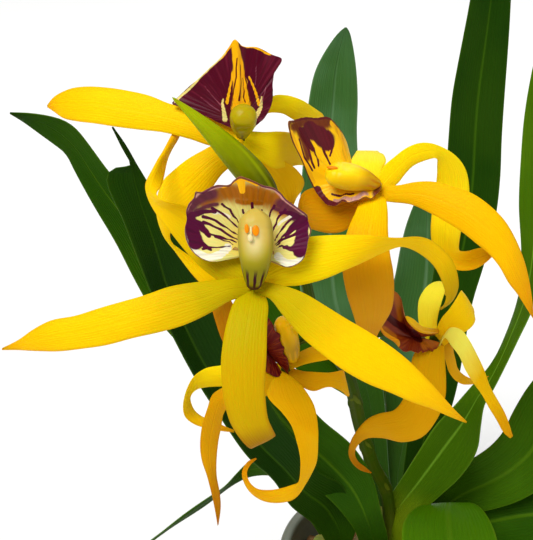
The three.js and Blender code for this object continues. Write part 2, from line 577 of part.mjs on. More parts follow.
// Where each flower stalk leaves the spike, and the way it comes up behind its flower.
const PEDICELS = {
  front_flower: [[-53.6, -120.6, 305], [-58, -133, 306], [-63, -147, 309]],
  top_flower: [[-57.6, -114.6, 324], [-62, -114, 331], [-66, -120, 339]],
  right_flower: [[-52.2, -114.5, 311], [-43.8, -110.8, 317.5], [-35, -113, 325]],
  low_flower: [[-45.6, -98.4, 269.5], [-51, -101, 268], [-54.5, -111, 267]],
  far_flower: [[-32.4, -73, 245.5], [-22, -66, 252], [-9, -69, 256]],
};

const BUD = {
  path: [[-58.2, -118.8, 320.5], [-60, -126, 325], [-61, -134, 330], [-64, -138, 336], [-69, -138.5, 342],
    [-75, -137.5, 348], [-80, -136.5, 352.5], [-84, -136, 356]],
  radii: [1.1, 1.2, 2.4, 3.5, 3.7, 3, 1.9, 0.5],
  sides: 8,
  steps: 10,
};

// Pseudobulbs: where each stands on the mix, how tall and how wide it is.
const BULBS = [
  { name: 'front', x: -3, y: -8, height: 28, radius: 12 },
  { name: 'back', x: -4, y: 17, height: 28, radius: 12 },
  { name: 'right', x: 24, y: 4, height: 27, radius: 12 },
  { name: 'left', x: -28.5, y: 0, height: 24, radius: 11.5 },
  { name: 'old', x: 21, y: 31, height: 22, radius: 11 },
];

// Leaves: edges in the plant's frame, from the top of a pseudobulb to the tip.
const LEAF_THICKNESS = 1.3;
const LEAVES = {
  left_long: [
    [-169, -96, 1117, -55, -122, 1168, -10], [-212, -88, 1218, -95, -95, 1324, -20],
    [-299, -105, 1361, -170, -102, 1489, -30], [-446, -153, 1547, -279, -144, 1687, -35],
    [-586, -206, 1718, -392, -190, 1875, -35], [-692, -226, 1868, -487, -210, 2024, -35],
    [-793, -247, 2052, -612, -221, 2216, -35], [-926, -270, 2229, -731, -247, 2402, -35],
    [-1036, -295, 2391, -833, -272, 2563, -30], [-1112, -307, 2558, -939, -293, 2711, -30],
    [-1183, -322, 2743, -1043, -315, 2854, -25], [-1254, -330, 2895, -1132, -335, 2955, -20],
    [-1311, -327, 3022, -1193, -349, 3045, -15], [-1335, -340, 3089, -1244, -355, 3129, -12],
    [-1374, -363, 3135, -1286, -369, 3195, -10], [-1418, -385, 3182, -1329, -386, 3229, -8],
    [-1460, -413, 3230, -1405, -413, 3255, -4], [-1487, -457, 3267, -1480, -457, 3270, 0],
  ],
  left_keeled: [
    [-334, -99, 1110, -215, -105, 1145, -20], [-396, -171, 1290, -260, -138, 1460, -40],
    [-511, -296, 1497, -385, -246, 1632, -50], [-586, -399, 1706, -466, -302, 1799, -55],
    [-680, -469, 1865, -551, -346, 1956, -70], [-782, -506, 2074, -628, -389, 2138, -75],
    [-884, -557, 2300, -711, -442, 2360, -80], [-959, -591, 2491, -793, -478, 2557, -80],
    [-1017, -623, 2660, -860, -514, 2707, -70], [-1064, -625, 2826, -927, -550, 2870, -40],
    [-1110, -605, 2966, -990, -560, 2993, -25], [-1141, -591, 3033, -1013, -559, 3054, -18],
    [-1154, -571, 3094, -1030, -561, 3087, -12], [-1130, -564, 3114, -1036, -560, 3098, -9],
    [-1099, -567, 3113, -1039, -561, 3103, -6], [-1070, -569, 3111, -1046, -559, 3115, -3],
    [-1096, -550, 3170, -1080, -542, 3177, -2], [-1132, -524, 3239, -1125, -521, 3242, 0],
  ],
  back_centre: [
    [-110, 171, 1124, -2, 183, 1151, -10], [-125, 226, 1256, -13, 242, 1291, -20],
    [-145, 280, 1387, -23, 298, 1427, -25], [-163, 324, 1508, -32, 346, 1557, -30],
    [-205, 378, 1650, -51, 389, 1700, -35], [-284, 425, 1790, -77, 436, 1850, -40],
    [-367, 455, 1916, -109, 469, 1996, -40], [-433, 495, 2063, -132, 494, 2122, -40],
    [-455, 541, 2226, -148, 539, 2269, -40], [-458, 592, 2385, -162, 585, 2419, -40],
    [-452, 647, 2542, -172, 639, 2560, -40], [-440, 706, 2695, -180, 695, 2709, -35],
    [-426, 769, 2847, -185, 760, 2850, -30], [-410, 823, 2977, -180, 821, 2972, -25],
    [-377, 884, 3109, -187, 882, 3105, -18], [-335, 918, 3184, -198, 917, 3182, -12],
    [-292, 944, 3242, -210, 942, 3238, -6], [-260, 955, 3277, -222, 955, 3277, -2],
    [-241, 960, 3289, -232, 959, 3288, 0],
  ],
  tall: [
    [-1, -46, 1154, 68, -58, 1152, -10], [10, -6, 1302, 105, -30, 1297, -20],
    [27, 49, 1458, 148, 22, 1461, -30], [47, 109, 1638, 203, 74, 1634, -35],
    [71, 164, 1819, 252, 124, 1816, -40], [95, 222, 1995, 284, 181, 2002, -40],
    [128, 285, 2193, 319, 245, 2203, -40], [155, 341, 2377, 368, 297, 2377, -40],
    [175, 393, 2565, 410, 356, 2579, -40], [190, 439, 2738, 422, 401, 2737, -40],
    [196, 489, 2907, 424, 455, 2904, -35], [207, 538, 3075, 432, 513, 3081, -35],
    [234, 581, 3242, 440, 561, 3246, -30], [265, 624, 3419, 445, 608, 3422, -25],
    [292, 663, 3590, 444, 653, 3591, -15], [339, 701, 3770, 432, 696, 3771, -7],
    [401, 726, 3885, 418, 724, 3881, 0],
  ],
  back_right: [
    [-34, 201, 1142, 74, 195, 1129, -10], [-30, 295, 1252, 109, 289, 1239, -20],
    [-14, 420, 1404, 179, 403, 1392, -30], [2, 545, 1560, 261, 520, 1552, -40],
    [18, 668, 1721, 324, 647, 1722, -40], [33, 784, 1890, 362, 766, 1899, -40],
    [51, 881, 2043, 366, 863, 2051, -40], [84, 959, 2178, 350, 949, 2193, -30],
    [127, 1028, 2305, 316, 1023, 2318, -20], [168, 1067, 2390, 276, 1064, 2397, -10],
    [209, 1088, 2437, 235, 1088, 2437, 0],
  ],
  right_narrow: [
    [-8, -70, 1131, 70, -74, 1123, -10], [-18, -36, 1302, 120, -78, 1257, -20],
    [-4, -14, 1435, 166, -83, 1355, -30], [46, -61, 1591, 247, -158, 1488, -40],
    [145, -40, 1746, 313, -127, 1663, -40], [215, -34, 1831, 319, -122, 1784, -40],
    [279, -12, 1904, 327, -125, 1898, -30], [334, 5, 1965, 352, -145, 1975, -20],
    [387, 26, 2048, 399, -145, 2107, -15], [429, 49, 2159, 440, -142, 2233, -10],
    [461, 68, 2271, 474, -134, 2336, -10], [477, 81, 2398, 506, -99, 2460, -10],
    [469, 103, 2542, 538, -51, 2603, -15], [452, 145, 2707, 564, 13, 2766, -20],
    [454, 204, 2885, 571, 83, 2933, -20], [459, 248, 3053, 575, 154, 3088, -15],
    [476, 284, 3204, 583, 216, 3224, -10], [502, 317, 3337, 588, 277, 3345, -5],
    [543, 349, 3444, 594, 330, 3451, -2], [583, 361, 3506, 591, 361, 3506, 0],
  ],
  right_low: [
    [258, 114, 1168, 303, 58, 1141, -10], [302, 97, 1298, 398, 19, 1225, -20],
    [352, 82, 1412, 490, -34, 1277, -30], [399, 65, 1469, 564, -76, 1355, -35],
    [443, 65, 1542, 646, -92, 1439, -40], [480, 75, 1612, 714, -85, 1527, -40],
    [521, 103, 1723, 758, -62, 1650, -40], [563, 123, 1801, 789, -38, 1739, -40],
    [662, 152, 1951, 871, 8, 1887, -35], [769, 189, 2151, 949, 64, 2082, -30],
    [857, 205, 2355, 1015, 109, 2290, -20], [960, 195, 2526, 1052, 146, 2491, -10],
    [1096, 186, 2652, 1109, 182, 2643, 0],
  ],
  right_spreading: [
    [326, 94, 1176, 328, -63, 1080, -14], [353, 98, 1204, 355, -99, 1087, -20],
    [459, 89, 1281, 457, -166, 1132, -30], [579, 62, 1342, 571, -216, 1191, -35],
    [712, 12, 1378, 680, -260, 1240, -35], [850, -52, 1382, 794, -296, 1270, -30],
    [974, -135, 1356, 909, -321, 1274, -20], [1057, -228, 1308, 1012, -336, 1254, -10],
    [1111, -312, 1234, 1100, -331, 1228, 0],
  ],
  back_left: [
    [-97, 228, 1184, -16, 242, 1216, -15], [-105, 263, 1269, -21, 280, 1305, -20],
    [-130, 365, 1441, -31, 385, 1485, -25], [-185, 413, 1571, -32, 448, 1647, -30],
    [-299, 437, 1648, -113, 498, 1805, -30], [-432, 436, 1717, -228, 516, 1917, -30],
    [-545, 450, 1832, -361, 533, 2039, -25], [-632, 468, 1969, -497, 529, 2126, -20],
    [-698, 482, 2096, -631, 503, 2165, -10], [-736, 494, 2170, -731, 496, 2176, 0],
  ],
  front_arching: [
    [210, -12, 1156, 276, -10, 1160, 10], [153, -62, 1265, 310, -60, 1269, 25],
    [85, -144, 1349, 342, -146, 1345, 40], [27, -253, 1399, 360, -260, 1383, 45],
    [-10, -374, 1400, 374, -379, 1388, 45], [-37, -497, 1370, 376, -500, 1363, 40],
    [-49, -619, 1320, 367, -622, 1313, 40], [-43, -726, 1253, 346, -731, 1242, 35],
    [-12, -834, 1160, 312, -838, 1153, 25], [57, -921, 1066, 260, -923, 1063, 10],
    [149, -995, 977, 168, -995, 977, 0],
  ],
  left_drooping: [
    [-375, 22, 1111, -351, 14, 1093, -3], [-470, 71, 1242, -431, 82, 1193, -5],
    [-555, 134, 1357, -516, 146, 1273, -7], [-627, 169, 1384, -593, 176, 1304, -8],
    [-694, 180, 1385, -685, 182, 1293, -8], [-751, 155, 1342, -743, 172, 1271, -5],
    [-808, 120, 1290, -805, 157, 1238, -3], [-902, 82, 1231, -899, 121, 1183, -2],
    [-1011, 42, 1166, -1008, 73, 1126, -2], [-1127, -10, 1101, -1126, 13, 1067, -1],
    [-1252, -71, 1028, -1248, -66, 1015, 0],
  ],
};

// A turned solid that stands upright, from an outline of radius and height.
function turned(outline, segments) {
  const geometry = new THREE.LatheGeometry(outline.map((pair) => new THREE.Vector2(...pair)), segments);
  return geometry.rotateX(Math.PI / 2);
}

// Inside radius of the pot at a height above the ground.
function boreRadius(height) {
  const share = height / (POT_HEIGHT - RIM_DEPTH);
  return THREE.MathUtils.lerp(POT_BASE_RADIUS, POT_TOP_RADIUS, Math.min(share, 1)) - POT_WALL;
}

function potGeometry() {
  const wallTop = POT_HEIGHT - RIM_DEPTH;
  return turned([
    [0, 0],
    [POT_BASE_RADIUS, 0],
    [POT_TOP_RADIUS, wallTop],
    [RIM_OUTER_RADIUS - RIM_ROUND, wallTop],
    [RIM_OUTER_RADIUS, wallTop + RIM_ROUND],
    [RIM_OUTER_RADIUS, POT_HEIGHT - RIM_ROUND],
    [RIM_OUTER_RADIUS - RIM_ROUND, POT_HEIGHT],
    [boreRadius(wallTop) + RIM_ROUND, POT_HEIGHT],
    [boreRadius(wallTop), POT_HEIGHT - RIM_ROUND],
    [boreRadius(wallTop), wallTop],
    [boreRadius(POT_FLOOR), POT_FLOOR],
    [0, POT_FLOOR],
  ], POT_SEGMENTS);
}

function mixGeometry() {
  const floor = POT_FLOOR + GAP;
  return turned([
    [0, floor],
    [boreRadius(floor) - GAP, floor],
    [boreRadius(MIX_TOP) - GAP, MIX_TOP],
    [0, MIX_TOP],
  ], POT_SEGMENTS);
}

// A pseudobulb: a spindle with a flat foot and a flat top, a little flattened from front to back.
const BULB_OUTLINE = [
  [0, 0], [0.55, 0], [0.9, 0.12], [1, 0.3], [0.93, 0.55], [0.75, 0.8], [0.6, 0.95], [0.5, 1], [0, 1],
];

function bulbGeometry({ height, radius }) {
  const outline = BULB_OUTLINE.map(([across, up]) => [across * radius, up * height]);
  return turned(outline, BULB_SIDES).scale(1, BULB_FLATTENING, 1);
}

const plant = new THREE.Group();
plant.add(namedMesh('pot', potGeometry(), COLOURS.pot, 0.35));
plant.add(namedMesh('potting_mix', mixGeometry(), COLOURS.mix, 0.95));

for (const bulb of BULBS) {
  const mesh = namedMesh(`pseudobulb_${bulb.name}`, bulbGeometry(bulb), COLOURS.bulb);
  mesh.position.set(bulb.x, bulb.y, MIX_TOP + GAP);
  plant.add(mesh);
}

for (const [name, rows] of Object.entries(LEAVES)) {
  plant.add(namedMesh(`leaf_${name}`, sheet(rows, LEAF_THICKNESS), COLOURS.leaf));
}

plant.add(namedMesh('spike', stem(SPIKE), COLOURS.stalk));
plant.add(namedMesh('bud', stem(BUD), COLOURS.bud));

for (const shape of FLOWERS) {
  plant.add(crown(shape));
  for (const [part, rows] of Object.entries(shape.tepals)) {
    plant.add(namedMesh(`${shape.name}_${part}`, sheet(rows, TEPAL_THICKNESS), COLOURS.petal));
  }
  const path = [...PEDICELS[shape.name], shape.place];
  const radii = [PEDICEL_RADIUS, PEDICEL_RADIUS, OVARY_RADIUS, HUB_RADIUS];
  plant.add(namedMesh(`${shape.name}_stalk`, stem({ path, radii }), COLOURS.stalk));
}

export default plant;
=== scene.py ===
"""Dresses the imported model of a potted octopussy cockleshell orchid.

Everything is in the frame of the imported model, with its origin under the pot. Lengths in this
file are millimetres, and Mould turns them into metres when it makes a mesh.
"""

import logging
import math
from dataclasses import dataclass, field, replace
from enum import Enum
from typing import Any, Callable, Optional, Sequence, Union

import bpy
import numpy as np
from mathutils import Matrix, Vector


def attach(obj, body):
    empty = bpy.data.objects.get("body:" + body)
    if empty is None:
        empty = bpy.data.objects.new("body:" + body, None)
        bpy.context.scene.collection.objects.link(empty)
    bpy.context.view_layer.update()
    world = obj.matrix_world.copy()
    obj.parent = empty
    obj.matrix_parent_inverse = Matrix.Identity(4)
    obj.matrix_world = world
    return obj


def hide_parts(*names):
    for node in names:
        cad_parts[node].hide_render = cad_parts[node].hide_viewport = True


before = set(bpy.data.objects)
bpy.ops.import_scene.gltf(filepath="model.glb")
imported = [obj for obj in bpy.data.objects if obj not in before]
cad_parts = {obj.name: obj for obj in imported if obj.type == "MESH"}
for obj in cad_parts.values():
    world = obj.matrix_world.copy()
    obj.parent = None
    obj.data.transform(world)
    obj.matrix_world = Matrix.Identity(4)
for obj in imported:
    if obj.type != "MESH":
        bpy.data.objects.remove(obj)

LOG = logging.getLogger("orchid")
MM = 0.001
BODY = "root"
VIEW_ANGLE = math.radians(24.5)
LEAN = math.pi / 2 - VIEW_ANGLE
EYE = (-61.0, -379.0, 420.0)
TO_VIEWER = (0.0, -math.cos(VIEW_ANGLE), math.sin(VIEW_ANGLE))
TINY = 1e-6  # lengths below this count as none
MIDDLE_RIB = 50  # a midrib's place in percent of the width
STROKE_FADE = 0.14  # the least softness of a marking's edge
MARK_DEPTH = 0.42  # half the thickness of a spot on a column
PAPERY = 1.0  # the kind of bracts and sheaths

Point = tuple[float, float, float]
Path = Sequence[Point]
Tint = tuple[float, float, float]
Rails = Sequence[Sequence[float]]


def tint(red: int, green: int, blue: int) -> Tint:
    """Turns display values from 0 to 255 into the linear colour that shaders use.

    Args:
        red: Red, 0 to 255.
        green: Green, 0 to 255.
        blue: Blue, 0 to 255.

    Returns:
        The linear colour.
    """
    def linear(value: float) -> float:
        """Undoes the display curve for one channel."""
        share = value / 255
        return share / 12.92 if share <= 0.04045 else ((share + 0.055) / 1.055) ** 2.4
    return linear(red), linear(green), linear(blue)


def table(text: str) -> Rails:
    """Reads rows of numbers from text that has a comma between two rows."""
    return [[float(number) for number in row.split()] for row in text.split(",")]


def add_to_scene(name: str, data: bpy.types.ID) -> bpy.types.Object:
    """Makes an object of a mesh, a camera or a light and puts it in the scene."""
    thing = bpy.data.objects.new(name, data)
    bpy.context.scene.collection.objects.link(thing)
    return thing


# ---- curves and sheets


def smooth_step(low: float, high: float, value: np.ndarray) -> np.ndarray:
    """Rises softly from 0 at low to 1 at high."""
    share = np.clip((value - low) / (high - low), 0, 1)
    return share * share * (3 - 2 * share)


def cubic(t: np.ndarray, here: np.ndarray, there: np.ndarray, rise: np.ndarray,
          leave: np.ndarray) -> np.ndarray:
    """Joins two values by a smooth curve.

    Args:
        t: The share of the way from the first value to the second.
        here: The first value.
        there: The second value.
        rise: The slope at the first.
        leave: The slope at the second.

    Returns:
        The value at each share.
    """
    return (
        (2 * t**3 - 3 * t**2 + 1) * here
        + (t**3 - 2 * t**2 + t) * rise
        + (3 * t**2 - 2 * t**3) * there
        + (t**3 - t**2) * leave
    )


def spread(values: Sequence[float], shares: np.ndarray) -> np.ndarray:
    """Reads a smooth curve through evenly spaced values.

    Args:
        values: The values, from the start to the end.
        shares: Where to read them, from 0 to 1.

    Returns:
        One value for each share.
    """
    padded = np.array([values[0], *values, values[-1]], float)
    place = np.clip(shares, 0, 1) * (len(values) - 1)
    index = np.minimum(place.astype(int), len(values) - 2)
    t = place - index
    before, here, there, after = (padded[index + k] for k in range(4))
    return cubic(t, here, there, (there - before) / 2, (after - here) / 2)


def through(knots: np.ndarray, values: np.ndarray, at: np.ndarray) -> np.ndarray:
    """Reads a smooth curve through rows of values that stand at uneven knots.

    Args:
        knots: Where the rows stand.
        values: The rows.
        at: Where to read them.

    Returns:
        One row for each place.
    """
    slope = np.gradient(values, knots, axis=0)
    index = np.clip(np.searchsorted(knots, at, side="right") - 1, 0, len(knots) - 2)
    gap = (knots[1:] - knots[:-1])[index][:, None]
    t = (at - knots[index])[:, None] / gap
    return cubic(t, values[index], values[index + 1], gap * slope[index], gap * slope[index + 1])


def softened(rows: np.ndarray, reach: int) -> np.ndarray:
    """Rounds off the bends of a line of rows.

    Args:
        rows: The rows.
        reach: How many rows on either side a bend is spread over.

    Returns:
        As many rows, with softer bends.
    """
    weights = np.hanning(2 * reach + 3)[1:-1]
    weights /= weights.sum()
    head = 2 * rows[0] - rows[reach:0:-1]
    tail = 2 * rows[-1] - rows[-2:-reach - 2:-1]
    longer = np.vstack([head, rows, tail])
    return np.stack([np.convolve(column, weights, "valid") for column in longer.T], 1)


def lengths_along(line: np.ndarray) -> np.ndarray:
    """Measures how far along a line each of its points lies."""
    return np.concatenate([[0], np.cumsum(np.linalg.norm(np.diff(line, axis=0), axis=1))])


def centre_line(points: Path, count: int, softness: float = 0.02) -> np.ndarray:
    """Runs a smooth line through points, read at equal steps of its length.

    Args:
        points: The points of the path.
        count: How many points to give back.
        softness: Share of the length over which bends are rounded off.

    Returns:
        An array of count points.
    """
    fine, samples = 240, 40
    p = np.array(points, float)
    p = np.vstack([2 * p[0] - p[1], p, 2 * p[-1] - p[-2]])
    t = np.linspace(0, 1, samples, endpoint=False)[:, None]
    pieces = []
    for before, here, there, after in zip(p, p[1:], p[2:], p[3:]):
        a, b, c = (max(np.linalg.norm(step), TINY) ** 0.5
                   for step in (here - before, there - here, after - there))
        rise = ((here - before) / a - (there - before) / (a + b) + (there - here) / b) * b
        leave = ((there - here) / b - (after - here) / (b + c) + (after - there) / c) * b
        pieces.append(cubic(t, here, there, rise, leave))
    line = even_steps(np.vstack([*pieces, p[-2][None]]), fine + 1)
    return even_steps(softened(line, max(int(softness * fine), 1)), count)


def even_steps(line: np.ndarray, count: int) -> np.ndarray:
    """Reads a line again at equal steps of its length.

    Args:
        line: Points of the line.
        count: How many points to give back.

    Returns:
        The new points.
    """
    lengths = lengths_along(line)
    at = np.linspace(0, lengths[-1], count)
    return np.stack([np.interp(at, lengths, line[:, k]) for k in range(3)], 1)


def unit(vectors: np.ndarray) -> np.ndarray:
    """Scales vectors to length one."""
    return vectors / np.maximum(np.linalg.norm(vectors, axis=-1, keepdims=True), 1e-9)


def grid_normals(grid: np.ndarray) -> np.ndarray:
    """Finds the unit normals of a grid of points."""
    return unit(np.cross(np.gradient(grid, axis=0), np.gradient(grid, axis=1)))


def side_vectors(line: np.ndarray) -> tuple[np.ndarray, np.ndarray]:
    """Finds, all along a line, its direction and its side, which keeps near the x axis.

    Args:
        line: Points of the line.

    Returns:
        The line's directions and its side vectors, all of length one.
    """
    tangents = unit(np.gradient(line, axis=0))
    wish = np.array([1.0, 0.0, 0.0])
    raw = wish - tangents * (tangents @ wish)[:, None]
    sides = np.empty_like(raw)
    side = unit(raw[0])
    for i, tangent in enumerate(tangents):
        side = unit(side - tangent * (side @ tangent))
        strength = np.linalg.norm(raw[i])
        if strength > TINY:
            aim = raw[i] / strength
            aim = aim if aim @ side >= 0 else -aim
            pull = 0.25 * strength**2
            side = unit(side * (1 - pull) + aim * pull)
        sides[i] = side
    return tangents, sides


@dataclass
class Sheet:
    """A grid of points with a thickness, which Mould closes into one thin solid."""

    middle: np.ndarray
    half: np.ndarray
    along: np.ndarray
    across: np.ndarray
    normals: Optional[np.ndarray] = None

    def outward(self) -> np.ndarray:
        """Gives the unit normals of the grid."""
        return grid_normals(self.middle) if self.normals is None else self.normals


class Mould:
    """Collects the solids of one piece and makes them into one mesh object."""

    def __init__(self) -> None:
        """Starts with no points and no faces."""
        self.points: list[np.ndarray] = []
        self.faces: list[np.ndarray] = []
        names = ("along", "across", "back", "kind")
        self.marks: dict[str, list[np.ndarray]] = {name: [] for name in names}
        self.count = 0

    def add(self, points: np.ndarray, faces: np.ndarray, along: np.ndarray, across: np.ndarray,
            back: np.ndarray, kind: float = 0.0) -> None:
        """Adds one closed solid.

        Args:
            points: Its points.
            faces: Its four-cornered faces; a face with a repeated corner is a triangle.
            along: Each point's share of the way along the piece.
            across: Each point's place across it, from -1 to 1.
            back: 1 on the back of a sheet and 0 on its face.
            kind: A number that tells a finish which part of the piece this is.
        """
        first, second, third, fourth = points[faces].transpose(1, 0, 2)
        volume = np.sum(first * np.cross(second, third)) + np.sum(first * np.cross(third, fourth))
        self.faces.append((faces if volume > 0 else faces[:, ::-1]) + self.count)
        self.points.append(points)
        for name, values in zip(self.marks, (along, across, back, np.full(len(points), kind))):
            self.marks[name].append(values)
        self.count += len(points)

    def add_sheet(self, sheet: Sheet, kind: float = 0.0) -> None:
        """Closes a sheet into a thin solid and adds it.

        Args:
            sheet: The sheet.
            kind: A number that tells a finish which part of the piece this is.
        """
        rows, columns = sheet.middle.shape[:2]
        size = rows * columns
        normals = sheet.outward()
        face = sheet.middle + normals * sheet.half[..., None]
        rear = sheet.middle - normals * sheet.half[..., None]
        grid = np.arange(size).reshape(rows, columns)
        quads = np.stack([grid[:-1, :-1], grid[1:, :-1], grid[1:, 1:], grid[:-1, 1:]], -1)
        quads = quads.reshape(-1, 4)
        rim = np.concatenate([grid[0, :], grid[1:, -1], grid[-1, -2::-1], grid[-2:0:-1, 0]])
        after = np.roll(rim, -1)
        wall = np.stack([rim, after, after + size, rim + size], -1)
        faces = np.concatenate([quads, quads[:, ::-1] + size, wall])
        marks = [np.tile(values.ravel(), 2) for values in (sheet.along, sheet.across)]
        back = np.concatenate([np.zeros(size), np.ones(size)])
        points = np.concatenate([face.reshape(-1, 3), rear.reshape(-1, 3)])
        self.add(points, faces, *marks, back, kind)

    def add_rings(self, rings: np.ndarray, kind: float = 0.0) -> None:
        """Closes a row of rings into a solid and adds it.

        Args:
            rings: An array of rows, points in a ring, and three coordinates.
            kind: A number that tells a finish which part of the piece this is.
        """
        rows, columns = rings.shape[:2]
        grid = np.arange(rows * columns).reshape(rows, columns)
        turn = np.roll(grid, -1, axis=1)
        quads = np.stack([grid[:-1], turn[:-1], turn[1:], grid[1:]], -1).reshape(-1, 4)
        first, last = (np.full(columns, rows * columns + k) for k in (0, 1))
        caps = [np.stack([grid[0], first, first, turn[0]], -1),
                np.stack([turn[-1], last, last, grid[-1]], -1)]
        points = np.concatenate([rings.reshape(-1, 3), [rings[0].mean(0), rings[-1].mean(0)]])
        along = np.append(np.repeat(np.linspace(0, 1, rows), columns), [0, 1])
        across = np.append(np.tile(np.linspace(-1, 1, columns, endpoint=False), rows), [0, 0])
        back = np.zeros(len(points))
        self.add(points, np.concatenate([quads, *caps]), along, across, back, kind)

    def cast(self, name: str, place: Optional[Matrix] = None) -> bpy.types.Object:
        """Makes the mesh object.

        Args:
            name: The object's name.
            place: Where the solids stand in the plant's frame, in millimetres.

        Returns:
            The new object, at the origin, with its mesh in metres.
        """
        points = np.concatenate(self.points)
        if place is not None:
            turn = np.array(place.to_3x3())
            points = points @ turn.T + np.array(place.translation)
        mesh = bpy.data.meshes.new(name)
        faces = []
        for face in np.concatenate(self.faces).tolist():
            faces.append([c for k, c in enumerate(face) if c != face[k - 1]])
        mesh.from_pydata((points * MM).tolist(), [], faces)
        for mark, values in self.marks.items():
            layer = mesh.attributes.new(mark, "FLOAT", "POINT")
            layer.data.foreach_set("value", np.concatenate(values).astype(np.float32))
        mesh.polygons.foreach_set("use_smooth", np.ones(len(mesh.polygons), bool))
        mesh.update()
        return add_to_scene(name, mesh)


# ---- shader nodes


class Value:
    """A number that varies over a surface. Arithmetic on it adds Math nodes."""

    def __init__(self, shader: "Shader", socket: bpy.types.NodeSocket) -> None:
        """Wraps an output socket of a shader's node."""
        self.shader = shader
        self.socket = socket

    def _math(self, operation: str, *values: "Number") -> "Value":
        """Adds one Math node and gives its result."""
        inputs = dict(enumerate(values))
        node = self.shader.node("ShaderNodeMath", {"operation": operation}, inputs)
        return Value(self.shader, node.outputs[0])

    def __add__(self, other: "Number") -> "Value":
        """Adds."""
        return self._math("ADD", self, other)

    __radd__ = __add__

    def __sub__(self, other: "Number") -> "Value":
        """Subtracts other from this."""
        return self._math("SUBTRACT", self, other)

    def __rsub__(self, other: "Number") -> "Value":
        """Subtracts this from other."""
        return self._math("SUBTRACT", other, self)

    def __mul__(self, other: "Number") -> "Value":
        """Multiplies."""
        return self._math("MULTIPLY", self, other)

    __rmul__ = __mul__

    def __abs__(self) -> "Value":
        """Drops the sign."""
        return self._math("ABSOLUTE", self)

    def cos(self) -> "Value":
        """Takes the cosine of an angle in radians."""
        return self._math("COSINE", self)

    def rise(self, low: "Number", high: "Number") -> "Value":
        """Rises softly from 0 at low to 1 at high, which may be the smaller of the two."""
        inputs = {"Value": self, "From Min": low, "From Max": high}
        node = self.shader.node("ShaderNodeMapRange", {"interpolation_type": "SMOOTHSTEP"}, inputs)
        return Value(self.shader, node.outputs[0])

    def band(self, low: float, high: float, soft: float) -> "Value":
        """Is 1 between low and high and fades to 0 outside, over soft."""
        return self.rise(low - soft, low) * self.rise(high + soft, high)


Number = Union[Value, float]
Colour = Union[bpy.types.NodeSocket, Tint]


